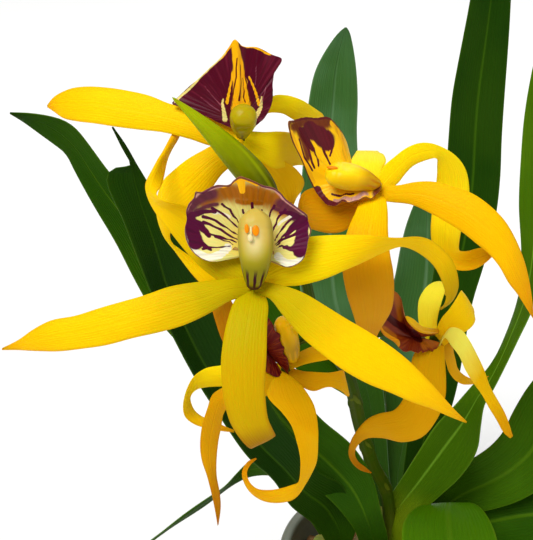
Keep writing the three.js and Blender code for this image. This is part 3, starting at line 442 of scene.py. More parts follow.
class Shader:
    """Builds the nodes of one material."""

    def __init__(self, name: str) -> None:
        """Starts a material that holds one Principled shader.

        Args:
            name: The material's name.
        """
        self.material = bpy.data.materials.new(name)
        self.material.use_nodes = True
        self.tree = self.material.node_tree
        self.surface = next(n for n in self.tree.nodes if n.type == "BSDF_PRINCIPLED")

    def node(self, kind: str, settings: dict[str, Any], inputs: dict[Any, Any]) -> bpy.types.Node:
        """Adds a node.

        Args:
            kind: The node's type.
            settings: Its own settings, which are set first; stops are those of a colour ramp.
            inputs: The values or links of its sockets, by name or number.

        Returns:
            The new node.
        """
        node = self.tree.nodes.new(kind)
        for key, value in settings.items():
            if key == "stops":
                self.set_stops(node.color_ramp, value)
            else:
                setattr(node, key, value)
        for key, value in inputs.items():
            self.plug(node.inputs[key], value)
        return node

    @staticmethod
    def set_stops(ramp: bpy.types.ColorRamp, stops: Sequence[tuple[float, Tint]]) -> None:
        """Gives a colour ramp its stops.

        Args:
            ramp: The ramp.
            stops: The place and the colour of each stop.
        """
        while len(ramp.elements) > 1:
            ramp.elements.remove(ramp.elements[-1])
        ramp.elements[0].position = stops[0][0]
        ramp.elements[0].color = (*stops[0][1], 1)
        for place, colour in stops[1:]:
            ramp.elements.new(place).color = (*colour, 1)

    def plug(self, socket: bpy.types.NodeSocket, value: Any) -> None:
        """Links a value to a socket, or sets it there.

        Args:
            socket: The socket to feed.
            value: A Value, a socket, a colour, a vector or a number.
        """
        if isinstance(value, Value):
            self.tree.links.new(value.socket, socket)
        elif isinstance(value, bpy.types.NodeSocket):
            self.tree.links.new(value, socket)
        elif isinstance(value, tuple) and socket.type == "RGBA":
            socket.default_value = (*value, 1)
        else:
            socket.default_value = value

    def mark(self, name: str) -> Value:
        """Reads one of the numbers that Mould stores on a mesh."""
        node = self.node("ShaderNodeAttribute", {"attribute_name": name}, {})
        return Value(self, node.outputs["Fac"])

    def place(self) -> bpy.types.NodeSocket:
        """Gives the position on the plant, in metres."""
        return self.node("ShaderNodeTexCoord", {}, {}).outputs["Object"]

    def vector(self, x: Number, y: Number, z: Number) -> bpy.types.NodeSocket:
        """Joins three numbers into a vector."""
        return self.node("ShaderNodeCombineXYZ", {}, {0: x, 1: y, 2: z}).outputs[0]

    def noise(self, scale: float, detail: float = 3,
              at: Optional[bpy.types.NodeSocket] = None) -> Value:
        """Reads soft noise around 0.5.

        Args:
            scale: How fine it is.
            detail: How many finer layers it has.
            at: The coordinates to read it at; the place on the plant if left out.

        Returns:
            The noise.
        """
        inputs = {"Vector": at or self.place(), "Scale": scale, "Detail": detail}
        return Value(self, self.node("ShaderNodeTexNoise", {}, inputs).outputs[0])

    def ramp(self, share: Value, stops: Sequence[tuple[float, Tint]]) -> bpy.types.NodeSocket:
        """Reads a colour ramp."""
        return self.node("ShaderNodeValToRGB", {"stops": stops}, {0: share}).outputs[0]

    def mix(self, share: Number, first: Colour, second: Colour) -> bpy.types.NodeSocket:
        """Goes from the first colour to the second as share goes from 0 to 1."""
        node = self.node("ShaderNodeMix", {"data_type": "RGBA"}, {0: share, 6: first, 7: second})
        return node.outputs[2]

    def tone(self, colour: Colour, strength: Number) -> bpy.types.NodeSocket:
        """Makes a colour lighter or darker by a factor."""
        node = self.node("ShaderNodeVectorMath", {"operation": "SCALE"}, {0: colour, 3: strength})
        return node.outputs[0]

    def finish(self, colour: Colour, roughness: Number, relief: Optional[Value] = None,
               depth: float = 0.0001, **constants: float) -> bpy.types.Material:
        """Connects the Principled shader.

        Args:
            colour: The base colour.
            roughness: The roughness.
            relief: Height of the fine relief, from 0 to 1.
            depth: How many metres a height of 1 stands for.
            constants: Other sockets of the shader, with underscores for spaces.

        Returns:
            The finished material.
        """
        self.plug(self.surface.inputs["Base Color"], colour)
        self.plug(self.surface.inputs["Roughness"], roughness)
        if relief is not None:
            inputs = {"Height": relief, "Distance": depth, "Strength": 1.0}
            bump = self.node("ShaderNodeBump", {}, inputs)
            self.plug(self.surface.inputs["Normal"], bump.outputs[0])
        for name, value in constants.items():
            self.plug(self.surface.inputs[name.replace("_", " ")], value)
        return self.material


class Slot(Enum):
    """The record's material slots."""

    POT = "pot"
    MIX = "potting_mix"
    BULB = "pseudobulb"
    LEAF = "leaf"
    STALK = "stalk"
    BUD = "bud"
    TEPAL = "tepal"
    LIP = "lip"
    COLUMN = "column"


@dataclass(frozen=True)
class Finish:
    """A finish that several pieces can share."""

    name: str

    def paint(self, shader: Shader) -> bpy.types.Material:
        """Builds the nodes. Each finish has its own.

        Args:
            shader: The shader to build them in.

        Returns:
            The finished material.
        """
        raise NotImplementedError

    def material(self) -> bpy.types.Material:
        """Gives the finish's material, made once."""
        return bpy.data.materials.get(self.name) or self.paint(Shader(self.name))


def grown_light(depth: float = 0.0012) -> dict[str, Any]:
    """Gives the sockets that let a thin petal glow a little."""
    return {"Subsurface_Weight": 0.25, "Subsurface_Scale": depth}


@dataclass(frozen=True)
class TepalFinish(Finish):
    """Yellow ribbon tissue: greenish at the foot, bright along its middle, warmer at its tip."""

    foot: Tint = tint(194, 170, 0)
    middle: Tint = tint(247, 197, 0)
    outer: Tint = tint(248, 188, 0)
    tip: Tint = tint(242, 172, 2)
    back: Tint = tint(200, 156, 0)
    back_share: float = 0.45
    greenness: float = 0.2

    def paint(self, shader: Shader) -> bpy.types.Material:
        """Builds the tepal's nodes."""
        along, across, back = (shader.mark(name) for name in ("along", "across", "back"))
        streaks = shader.noise(1, 4, shader.vector(across * 16, along * 2.2, back * 3))
        clouds = shader.noise(90, 2)
        reach = along + (clouds - 0.5) * 0.16
        stops = [(0.0, self.foot), (self.greenness, self.foot),
                 (self.greenness + 0.25, self.middle), (0.68, self.middle), (0.86, self.outer),
                 (1.0, self.tip)]
        colour = shader.ramp(reach, stops)
        edge = abs(across).rise(0.72, 1.0) * along.rise(0.35, 0.9)
        colour = shader.mix(edge * 0.5, colour, self.tip)
        colour = shader.mix(back * self.back_share, colour, self.back)
        shade = 0.93 + streaks * 0.14
        veins = (across * 44 + (streaks - 0.5) * 5).cos()
        relief = veins * 0.2 + streaks * 0.8 - abs(across).rise(0.07, 0.0) * 0.7
        return shader.finish(shader.tone(colour, shade), 0.44 + streaks * 0.14, relief, 0.00012,
                             **grown_light(), Specular_IOR_Level=0.04)


MARK_FADES = {"brown": 0.95, "dusk": 0.95, "gold": 0.7, "pale": 0.6, "rim": 0.9, "dark": 0.5}


@dataclass(frozen=True)
class LipFinish(Finish):
    """A shell-shaped lip: a plain ground that carries the markings Lip works out."""

    ground: Tint = tint(234, 222, 128)
    heart: Tint = tint(236, 200, 60)
    dusk: Tint = tint(98, 40, 54)
    # On the front lip, brown is painted shade inside the hood.
    brown: Tint = tint(168, 97, 2)
    gold: Tint = tint(255, 184, 4)
    pale: Tint = tint(240, 234, 208)
    # On the front lip, rim is the hood's pale pink edge together with a painted highlight where it
    # catches the light.
    rim: Tint = tint(206, 150, 138)
    dark: Tint = tint(82, 6, 48)
    back: Tint = tint(170, 110, 50)
    streak: Tint = tint(226, 206, 190)
    streaks: float = 0.0
    edge: float = 0.9

    def paint(self, shader: Shader) -> bpy.types.Material:
        """Builds the lip's nodes."""
        along, across, back = (shader.mark(name) for name in ("along", "across", "back"))
        wobble = shader.noise(420, 3) - 0.5
        fibres = shader.noise(1, 4, shader.vector(across * 42, along * 1.6, 0.3))
        fine = fibres - 0.5
        colour = shader.mix(along.rise(0.62, 0.2) * 0.7, self.ground, self.heart)
        colour = shader.mix(fibres.rise(0.5, 0.66) * along.rise(0.25, 0.5) * self.streaks, colour,
                            self.streak)
        for name, fade in MARK_FADES.items():
            mask = shader.mark(name)
            low, high = (0.3, 0.62) if fade < 0.8 else (0.05, 0.9)
            cover = (mask + wobble * 0.3 + fine * 0.45).rise(low, high) * mask.rise(0.02, 0.2)
            paint = shader.tone(getattr(self, name), 1 + fine * 0.9)
            colour = shader.mix(cover, colour, paint)
        rim = (along + wobble * 0.006).rise(0.977, 0.986) * self.edge
        colour = shader.mix(rim, colour, self.dark)
        colour = shader.mix(back * 0.75, colour, self.back)
        relief = fibres * 0.8 + wobble * 0.4
        return shader.finish(colour, 0.38 + fine * 0.2, relief, 0.00016,
                             **grown_light(0.0006), Specular_IOR_Level=0.12)


@dataclass(frozen=True)
class ColumnFinish(Finish):
    """A column: purple stripes at its foot, olive above, cream at its tip, orange dots, with
    painted shade on its right side and flanks and a painted highlight down its front.
    """

    # olive is the neck's own colour and also the colour of the painted shade on the right side and
    # flanks.
    olive: Tint = tint(132, 124, 0)
    body: Tint = tint(178, 160, 24)
    cream: Tint = tint(202, 174, 74)
    stripe: Tint = tint(54, 0, 24)
    dot: Tint = tint(240, 140, 0)
    # white is the colour of the white spots and also of the painted highlight down the front.
    white: Tint = tint(230, 214, 156)

    def paint(self, shader: Shader) -> bpy.types.Material:
        """Builds the column's nodes. Its front is where across is 0."""
        along, across, kind = (shader.mark(name) for name in ("along", "across", "kind"))
        soft = shader.noise(220, 2) - 0.5
        share = along + soft * 0.06
        colour = shader.ramp(share, [(0.0, self.olive), (0.3, self.olive), (0.48, self.body),
                                     (0.68, self.cream), (1.0, self.cream)])
        # Painted shade: the right side is darkened towards olive.
        shaded_right_side = across.rise(-0.1, 0.45) * share.rise(0.62, 0.3)
        colour = shader.mix(shaded_right_side * 0.6, colour, self.olive)
        # Painted highlight: a pale band down the middle of the front.
        pale = abs(across + 0.03).rise(0.26, 0.0) * share.rise(0.38, 0.62) * share.rise(0.88, 0.68)
        colour = shader.mix(pale * 0.75, colour, self.white)
        # Painted shade: both flanks are darkened towards olive below the tip.
        shaded_flanks = abs(across).rise(0.2, 0.42) * share.rise(0.95, 0.7)
        colour = shader.mix(shaded_flanks * 0.55, colour, self.olive)
        pulse = (across * 30 + soft * 3).cos()
        stripes = pulse.rise(0.1, 0.6) * share.rise(0.33, 0.22) * abs(across).rise(0.72, 0.6)
        colour = shader.mix(stripes, colour, self.stripe)
        colour = shader.mix(along.rise(0.14, 0.07), colour, self.stripe)
        colour = shader.mix(kind.band(0.9, 1.1, 0.05), colour, self.dot)
        colour = shader.mix(kind.band(1.9, 2.1, 0.05), colour, self.white)
        return shader.finish(colour, 0.34 + soft * 0.1, soft, 0.0002,
                             **grown_light(0.001), Specular_IOR_Level=0.12)


@dataclass(frozen=True)
class LeafFinish(Finish):
    """A strap leaf: dark green, with a paler midrib and fine parallel veins."""

    blade: Tint = tint(38, 76, 0)
    light: Tint = tint(58, 98, 2)
    midrib: Tint = tint(88, 126, 14)
    foot: Tint = tint(36, 70, 0)
    back: Tint = tint(48, 84, 2)
    midrib_strength: float = 0.5
    foot_reach: float = 0.12

    def paint(self, shader: Shader) -> bpy.types.Material:
        """Builds the leaf's nodes."""
        along, across, back = (shader.mark(name) for name in ("along", "across", "back"))
        stripes = shader.noise(1, 4, shader.vector(across * 22, along * 1.6, 0.0))
        clouds = shader.noise(26, 3)
        colour = shader.mix(clouds.rise(0.35, 0.72) * 0.55, self.blade, self.light)
        rib = abs(across).rise(0.09, 0.02) * self.midrib_strength
        colour = shader.mix(rib * along.rise(1.0, 0.7), colour, self.midrib)
        low = along.rise(self.foot_reach, self.foot_reach * 0.5)
        colour = shader.mix(low * 0.85, colour, self.foot)
        colour = shader.mix(back * 0.55, colour, self.back)
        colour = shader.mix(abs(across).rise(0.94, 1.0) * 0.4, colour, self.midrib)
        veins = (across * 70 + (stripes - 0.5) * 6).cos()
        relief = veins * 0.25 + stripes - abs(across).rise(0.06, 0.0) * 1.2
        colour = shader.tone(colour, 0.86 + stripes * 0.28)
        return shader.finish(colour, 0.36 + clouds * 0.18, relief, 0.0002, Specular_IOR_Level=0.05,
                             Subsurface_Weight=0.06, Subsurface_Scale=0.002)


@dataclass(frozen=True)
class StemFinish(Finish):
    """A green stem, flushed with another colour, with fine ribs and small specks."""

    green: Tint = tint(50, 72, 0)
    flush: Tint = tint(58, 70, 0)
    foot: Tint = tint(96, 106, 20)
    papery: Tint = tint(86, 98, 10)

    def paint(self, shader: Shader) -> bpy.types.Material:
        """Builds the stem's nodes. Pieces of kind 1 are papery bracts."""
        along, across, kind = (shader.mark(name) for name in ("along", "across", "kind"))
        clouds = shader.noise(120, 3)
        specks = shader.noise(900, 2)
        colour = shader.mix(clouds.rise(0.4, 0.7), self.green, self.flush)
        colour = shader.mix(along.rise(0.1, 0.0), colour, self.foot)
        colour = shader.mix(specks.rise(0.66, 0.74) * 0.5, colour, self.flush)
        colour = shader.mix(kind.rise(0.4, 0.6), colour, self.papery)
        ribs = (across * 28).cos()
        return shader.finish(shader.tone(colour, 0.9 + clouds * 0.2), 0.42 + clouds * 0.15,
                             ribs * 0.3 + clouds, 0.0002, Specular_IOR_Level=0.06)


@dataclass(frozen=True)
class BudFinish(Finish):
    """The closed bud: lime green, with painted shade making it darker underneath, and seams
    between its sepals.
    """

    lime: Tint = tint(134, 144, 0)
    # olive is the painted shade at the bud's lower end.
    olive: Tint = tint(72, 80, 0)
    pale: Tint = tint(160, 174, 0)

    def paint(self, shader: Shader) -> bpy.types.Material:
        """Builds the bud's nodes."""
        along, across = shader.mark("along"), shader.mark("across")
        clouds = shader.noise(150, 3)
        seams = (across * (3 * math.pi)).cos()
        # Painted shade: olive darkens the bud's lower end.
        stops = [(0.0, self.olive), (0.35, self.olive), (0.65, self.lime), (1.0, self.pale)]
        colour = shader.ramp(along + (clouds - 0.5) * 0.2, stops)
        colour = shader.mix(seams.rise(-0.86, -1.0) * 0.5, colour, self.pale)
        ribs = (across * 40 + clouds * 3).cos()
        return shader.finish(shader.tone(colour, 0.9 + clouds * 0.2), 0.4, ribs * 0.2 + clouds,
                             0.00015, **grown_light(0.001), Specular_IOR_Level=0.05)


@dataclass(frozen=True)
class BulbFinish(Finish):
    """A pseudobulb: furrowed green skin with papery sheaths round its foot."""

    skin: Tint = tint(104, 128, 36)
    old: Tint = tint(140, 132, 50)
    papery: Tint = tint(190, 172, 118)
    brown: Tint = tint(96, 70, 36)

    def paint(self, shader: Shader) -> bpy.types.Material:
        """Builds the pseudobulb's nodes. Pieces of kind 1 are papery sheaths."""
        along, across, kind = (shader.mark(name) for name in ("along", "across", "kind"))
        fibres = shader.noise(1, 5, shader.vector(across * 26, along * 2, kind * 5))
        clouds = shader.noise(60, 3)
        green = shader.mix(clouds.rise(0.4, 0.7), self.skin, self.old)
        dry = shader.mix(fibres.rise(0.4, 0.7), self.papery, self.brown)
        colour = shader.mix(kind.rise(0.4, 0.6), green, dry)
        furrows = (across * 34 + (fibres - 0.5) * 3).cos()
        return shader.finish(shader.tone(colour, 0.8 + fibres * 0.4), 0.5 + fibres * 0.2,
                             furrows * 0.3 + fibres, 0.0004, Specular_IOR_Level=0.35)


@dataclass(frozen=True)
class BarkFinish(Finish):
    """Bark chips and peat: each chip has its own brown, with coarse fibres."""

    dark: Tint = tint(58, 38, 20)
    warm: Tint = tint(122, 84, 46)
    pale: Tint = tint(164, 132, 88)

    def paint(self, shader: Shader) -> bpy.types.Material:
        """Builds the nodes. Kind is each chip's own number, from 0 to 1."""
        kind = shader.mark("kind")
        grain = shader.noise(420, 5)
        broad = shader.noise(70, 2)
        stops = [(0.0, self.dark), (0.55, self.warm), (1.0, self.pale)]
        colour = shader.ramp(kind + (grain - 0.5) * 0.5, stops)
        colour = shader.mix(broad.rise(0.5, 0.75) * 0.5, colour, self.dark)
        return shader.finish(shader.tone(colour, 0.7 + grain * 0.6), 0.88, grain, 0.0008,
                             Specular_IOR_Level=0.2)


@dataclass(frozen=True)
class PotFinish(Finish):
    """Grey-green moulded plastic, with fine grain and faint streaks of dust."""

    plastic: Tint = tint(96, 100, 82)
    cool: Tint = tint(120, 125, 112)
    dust: Tint = tint(120, 112, 96)

    def paint(self, shader: Shader) -> bpy.types.Material:
        """Builds the pot's nodes."""
        along = shader.mark("along")
        clouds = shader.noise(22, 3)
        grain = shader.noise(1600, 2)
        marks = shader.noise(1, 4, shader.vector(shader.mark("across") * 40, along * 3, 0))
        colour = shader.mix(clouds.rise(0.3, 0.7), self.plastic, self.cool)
        colour = shader.mix(marks.rise(0.56, 0.72) * 0.25, colour, self.dust)
        return shader.finish(colour, 0.34 + clouds * 0.16, grain, 0.00004, Specular_IOR_Level=0.5,
                             Subsurface_Weight=0.15, Subsurface_Scale=0.003)


@dataclass(frozen=True)
class FloorFinish(Finish):
    """Plain pale studio floor."""

    pale: Tint = (0.88, 0.88, 0.87)

    def paint(self, shader: Shader) -> bpy.types.Material:
        """Builds the floor's nodes."""
        clouds = shader.noise(3, 2)
        colour = shader.tone(self.pale, 0.99 + clouds * 0.02)
        return shader.finish(colour, 0.8, Specular_IOR_Level=0.2)


def settle(mould: Mould, node: str, finish: Finish,
           place: Optional[Matrix] = None) -> None:
    """Casts a piece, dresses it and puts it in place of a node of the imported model.

    Args:
        mould: The piece's solids.
        node: The node it stands for.
        finish: The piece's finish.
        place: Where the solids stand in the plant's frame, if they have a frame of their own.
    """
    piece = mould.cast(f"{node}_grown", place)
    piece.data.materials.append(finish.material())
    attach(piece, BODY)
    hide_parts(node)
    LOG.info("%s stands for %s: %d faces", piece.name, node, len(piece.data.polygons))


# ---- ribbons: tepals and leaves


def bract_rails(points: Path, widths: Sequence[float]) -> Rails:
    """Makes the rails of a small bract that is as wide along x as it is told.

    Args:
        points: The middle of the bract, in millimetres.
        widths: Its width at each point.

    Returns:
        The rails, as Ribbon takes them.
    """
    left, wide = 10 * np.array(points, float), 10 * np.array(widths)
    left[:, 0] -= wide / 2
    steps = np.diff(left, axis=0, prepend=np.zeros((1, 3)))
    return np.column_stack([steps, wide, 0 * wide, 0 * wide, wide / 4])


@dataclass
class Ribbon:
    """A long thin sheet between two edges.

    Each row of rails holds the step to the next point of the left edge, the step from there to
    the right edge and how far the sheet bows towards the viewer, all in tenths of a millimetre.
    A row of eight ends with the midrib's place across the sheet in percent; in others it is 50.
    """

    rails: Rails
    fold: float = 2.0
    thickness: float = 0.55
    edge_thickness: float = 0.2
    wave: float = 0.22
    waves: float = 3.0
    phase: float = 0.0
    front: Point = TO_VIEWER
    steps: int = 96
    columns: int = 21
    softness: float = 0.018

    def sheet(self, origin: Point = (0, 0, 0)) -> Sheet:
        """Builds the ribbon's grid, its thickness and its marks.

        Args:
            origin: Where the rails start, in millimetres.

        Returns:
            The sheet.
        """
        rows = np.array([(*row, MIDDLE_RIB)[:8] for row in self.rails], float)
        rows[:, :3] = np.cumsum(rows[:, :3], axis=0) + np.round(10 * np.array(origin))
        rows[:, 3:6] += rows[:, :3]
        rows /= 10
        gaps = np.linalg.norm(np.diff(rows[:, :6].reshape(-1, 2, 3), axis=0), axis=2).mean(1)
        knots = np.concatenate([[0], np.cumsum(gaps)])
        read = through(knots, rows, np.linspace(0, knots[-1], self.steps))
        rows = softened(read, max(int(self.softness * self.steps), 1))
        left, right = rows[:, None, :3], rows[:, None, 3:6]
        bow, rib = rows[:, 6:7], np.clip(rows[:, 7:8] / 10, 0.15, 0.85)
        s, share = np.meshgrid(np.linspace(0, 1, self.steps), np.linspace(0, 1, self.columns),
                               indexing="ij")
        across = np.where(share < rib, share / rib - 1, (share - rib) / (1 - rib))
        middle = left + (right - left) * share[..., None]
        rise = 1 - (across**2 + 0.004) ** (self.fold / 2)
        middle = middle + unit(np.array(EYE) - middle) * (bow * rise)[..., None]
        normals = self.normals(middle)
        swell = smooth_step(0.05, 0.3, s) * smooth_step(1.02, 0.8, s)
        sway = np.sin(2 * math.pi * self.waves * s + self.phase + 1.9 * np.sign(across))
        ripple = self.wave * sway * np.abs(across) ** 2.5 * swell
        middle = middle + normals * ripple[..., None]
        wide = np.linalg.norm(right - left, axis=-1)
        thick = (self.thickness - self.edge_thickness) * (1 - np.abs(across) ** 2.2)
        thick = (self.edge_thickness + thick) * np.clip(wide / 3.0, 0.25, 1)
        return Sheet(middle, thick / 2, s, across, self.normals(middle))

    def normals(self, middle: np.ndarray) -> np.ndarray:
        """Finds the normals of the face, which looks along front near the foot.

        Args:
            middle: The sheet's points.

        Returns:
            A unit normal for each point.
        """
        normals = grid_normals(middle)
        near_foot = normals[self.steps // 12:self.steps // 4].mean((0, 1))
        return normals if near_foot @ np.array(self.front) > 0 else -normals


@dataclass
class Tepal(Ribbon):
    """One sepal or petal of a flower."""

    finish: Finish = TepalFinish("tepal_yellow")

    def build(self, node: str, origin: Point) -> None:
        """Builds and dresses the tepal.

        Args:
            node: The node it stands for.
            origin: Where its rails start.
        """
        mould = Mould()
        mould.add_sheet(self.sheet(origin))
        settle(mould, node, self.finish)


# ---- round pieces


@dataclass
class Tube:
    """A round or oval body along a path."""

    path: Path
    wide: Sequence[float]
    deep: Optional[Sequence[float]] = None
    sides: int = 40
    steps: int = 64
    softness: float = 0.03
    relief: Optional[Callable[[np.ndarray, np.ndarray], np.ndarray]] = None
    round_ends: tuple[float, float] = (0.02, 0.05)

    def rings(self) -> np.ndarray:
        """Builds the rings of the tube.

        Returns:
            An array of rings, points and coordinates.
        """
        line = centre_line(self.path, self.steps, self.softness)
        tangents, sides = side_vectors(line)
        fronts = np.cross(sides, tangents)
        shares = np.linspace(0, 1, self.steps)
        start, end = self.round_ends
        near = np.clip(1 - shares / start, 0, 1)
        far = np.clip((shares - 1 + end) / end, 0, 1)
        cap = np.sqrt(np.maximum(1 - near**2, 0.0004)) * np.sqrt(np.maximum(1 - far**2, 0.0004))
        wide = spread(self.wide, shares) * cap
        deep = spread(self.deep or self.wide, shares) * cap
        s, around = np.meshgrid(shares, circle(self.sides), indexing="ij")
        swell = self.relief(s, around / math.pi) if self.relief else np.zeros_like(s)
        return (
            line[:, None]
            + sides[:, None] * (np.sin(around) * (wide[:, None] + swell))[..., None]
            + fronts[:, None] * (np.cos(around) * (deep[:, None] + swell))[..., None]
        )


def circle(count: int) -> np.ndarray:
    """Gives count angles once round, in radians."""
    return np.linspace(-math.pi, math.pi, count, endpoint=False)


def ring(radius: float, height: Union[float, np.ndarray], count: int) -> np.ndarray:
    """Builds a ring of points round the pot's axis.

    Args:
        radius: Its radius.
        height: Its height, or the height of each point.
        count: How many points it has.

    Returns:
        The points.
    """
    turn = circle(count)
    level = np.broadcast_to(height, turn.shape)
    return np.stack([radius * np.sin(turn), -radius * np.cos(turn), level], -1)


def ball(centre: Point, size: Point, turns: int = 20, rows: int = 14) -> np.ndarray:
    """Builds the rings of a small rounded body.

    Args:
        centre: Its middle.
        size: Half its size along x, y and z.
        turns: Points in a ring.
        rows: Rings from one end to the other, along y.

    Returns:
        The rings, which Mould closes.
    """
    lift = np.linspace(-math.pi / 2 + 0.08, math.pi / 2 - 0.08, rows)
    up, around = np.meshgrid(lift, circle(turns), indexing="ij")
    shape = np.stack([np.cos(up) * np.sin(around), np.sin(up), np.cos(up) * np.cos(around)], -1)
    return shape * np.array(size) + np.array(centre)


@dataclass
class Lip:
    """The shell-shaped lip, a fan that opens round a point behind the column.

    The rim, the centre and the strokes are in tenths of a millimetre, in the crown's own
    directions. The rim is its first point and the step to each further one. A marking's strokes
    are separated by semicolons; each is its width at both ends, its first point and its steps.
    """

    rim: Rails
    centre: Sequence[float]
    finish: Finish
    strokes: dict[str, str] = field(default_factory=dict)
    power: float = 2.0
    ruffle: float = 0.35
    ruffles: float = 9.0
    midrib: float = 0.0
    rows: int = 300
    columns: int = 96

    def fan(self) -> tuple[np.ndarray, np.ndarray]:
        """Builds the lip's smooth grid. Rows run round it and columns run outwards.

        Returns:
            The points of the grid and each one's share of the way out to the rim.
        """
        rim = np.cumsum(self.rim, axis=0) / 10
        knots = lengths_along(rim)
        edge = through(knots, rim, np.linspace(0, knots[-1], self.rows))[:, None]
        centre = np.array(self.centre, float) / 10
        q = np.tile(np.linspace(0.02, 1, self.columns), (self.rows, 1))
        middle = centre + (edge - centre) * q[..., None]
        middle[..., 2] = centre[2] + (edge[..., 2] - centre[2]) * q**self.power
        return middle, q

    def sheet(self, fan: np.ndarray, q: np.ndarray) -> Sheet:
        """Gives the smooth grid its wavy margin, its ridge and its fine veins.

        Args:
            fan: The points of the smooth grid.
            q: Each point's share of the way out.

        Returns:
            The lip's sheet.
        """
        middle, centre = fan.copy(), np.array(self.centre, float) / 10
        theta = np.arctan2(middle[..., 0] - centre[0], middle[..., 1] - centre[1])
        wave = np.sin(theta * self.ruffles + 0.6) + 0.6 * np.sin(theta * self.ruffles * 1.7 + 2.0)
        middle[..., 2] += self.ruffle * wave * q**3
        middle[..., 2] += self.midrib * np.exp(-((theta / 0.09) ** 2)) * smooth_step(0.1, 0.5, q)
        middle[..., 2] += 0.05 * np.sin(theta * 70) * smooth_step(0.15, 0.6, q)
        normals = grid_normals(middle)
        normals = normals if normals[..., 2].mean() > 0 else -normals
        return Sheet(middle, 0.16 + 0.2 * (1 - q**2), q, theta / math.radians(120), normals)

    def masks(self, middle: np.ndarray) -> dict[str, np.ndarray]:
        """Works out how strongly each point of the lip carries each kind of marking.

        Args:
            middle: The lip's points, in millimetres.

        Returns:
            A value from 0 to 1 for each point, by the marking's name.
        """
        points = middle.reshape(-1, 3)
        masks = {name: np.zeros(len(points)) for name in MARK_FADES}
        strokes = [(name, table(line)) for name, text in self.strokes.items()
                   for line in text.split(";")]
        for name, ((start, end), *steps) in strokes:
            line = np.cumsum(steps, axis=0) / 10
            lengths = lengths_along(line)
            for k, step in enumerate(np.diff(line, axis=0)):
                share = np.clip((points - line[k]) @ step / (step @ step), 0, 1)
                gap = np.linalg.norm(points - line[k] - share[:, None] * step, axis=1)
                along = (lengths[k] + share * (lengths[k + 1] - lengths[k])) / lengths[-1]
                half = (start + (end - start) * along) / 20
                soft = np.maximum(half * MARK_FADES[name], STROKE_FADE)
                mask = smooth_step(-soft, soft, half - gap)
                masks[name] = np.maximum(masks[name], mask)
        return masks

    def build(self, flower: str, place: Matrix) -> None:
        """Builds and dresses the lip of a flower.

        Args:
            flower: The flower's name.
            place: Where the crown stands in the plant's frame.
        """
        mould = Mould()
        fan, q = self.fan()
        mould.add_sheet(self.sheet(fan, q))
        for name, values in self.masks(fan).items():
            mould.marks[name] = [values, values]
        settle(mould, f"{flower}_lip", self.finish, place)


@dataclass
class Column:
    """The column that stands in front of the lip, and the spots on it.

    A mark is its middle, half its width, half its height and its kind: 1 is orange, 2 is white.
    """

    path: Path
    wide: Sequence[float] = (1.7, 2.6, 3.4, 4.0, 4.3, 4.3, 3.9, 2.9)
    deep: Sequence[float] = (1.6, 2.4, 2.9, 3.2, 3.3, 3.2, 2.8, 2.0)
    marks: Rails = ()
    finish: Finish = ColumnFinish("column_cream")

    @staticmethod
    def relief(share: np.ndarray, around: np.ndarray) -> np.ndarray:
        """Hollows the front under the tip and raises a ridge beside the hollow.

        Args:
            share: The share of the way up the column.
            around: The turn round it, with 0 in front.

        Returns:
            How far the surface stands out.
        """
        front = np.exp(-((around / 0.14) ** 2))
        hollow = np.exp(-(((share - 0.66) / 0.07) ** 2))
        ridge = np.exp(-(((np.abs(around) - 0.22) / 0.08) ** 2)) * smooth_step(0.3, 0.6, share)
        crease = np.exp(-(((share - 0.78) / 0.015) ** 2)) * smooth_step(0.6, 0.2, np.abs(around))
        return -0.55 * front * hollow + 0.18 * ridge - 0.16 * crease

    def build(self, flower: str, place: Matrix) -> None:
        """Builds and dresses the column of a flower.

        Args:
            flower: The flower's name.
            place: Where the crown stands in the plant's frame.
        """
        mould = Mould()
        tube = Tube(self.path, self.wide, self.deep, relief=self.relief, sides=56, steps=72,
                    round_ends=(0.03, 0.16))
        mould.add_rings(tube.rings())
        for x, y, z, half_width, half_height, kind in self.marks:
            mould.add_rings(ball((x, y, z), (half_width, half_height, MARK_DEPTH)), kind)
        settle(mould, f"{flower}_column", self.finish, place)


def facing(rise: Point, face: Point) -> Matrix:
    """Builds the turn that takes y to rise and z towards face.

    Args:
        rise: The way up the flower.
        face: The way its face looks.

    Returns:
        The turn.
    """
    y = Vector(rise).normalized()
    x = y.cross(Vector(face)).normalized()
    z = x.cross(y)
    return Matrix((x, y, z)).transposed().to_4x4()


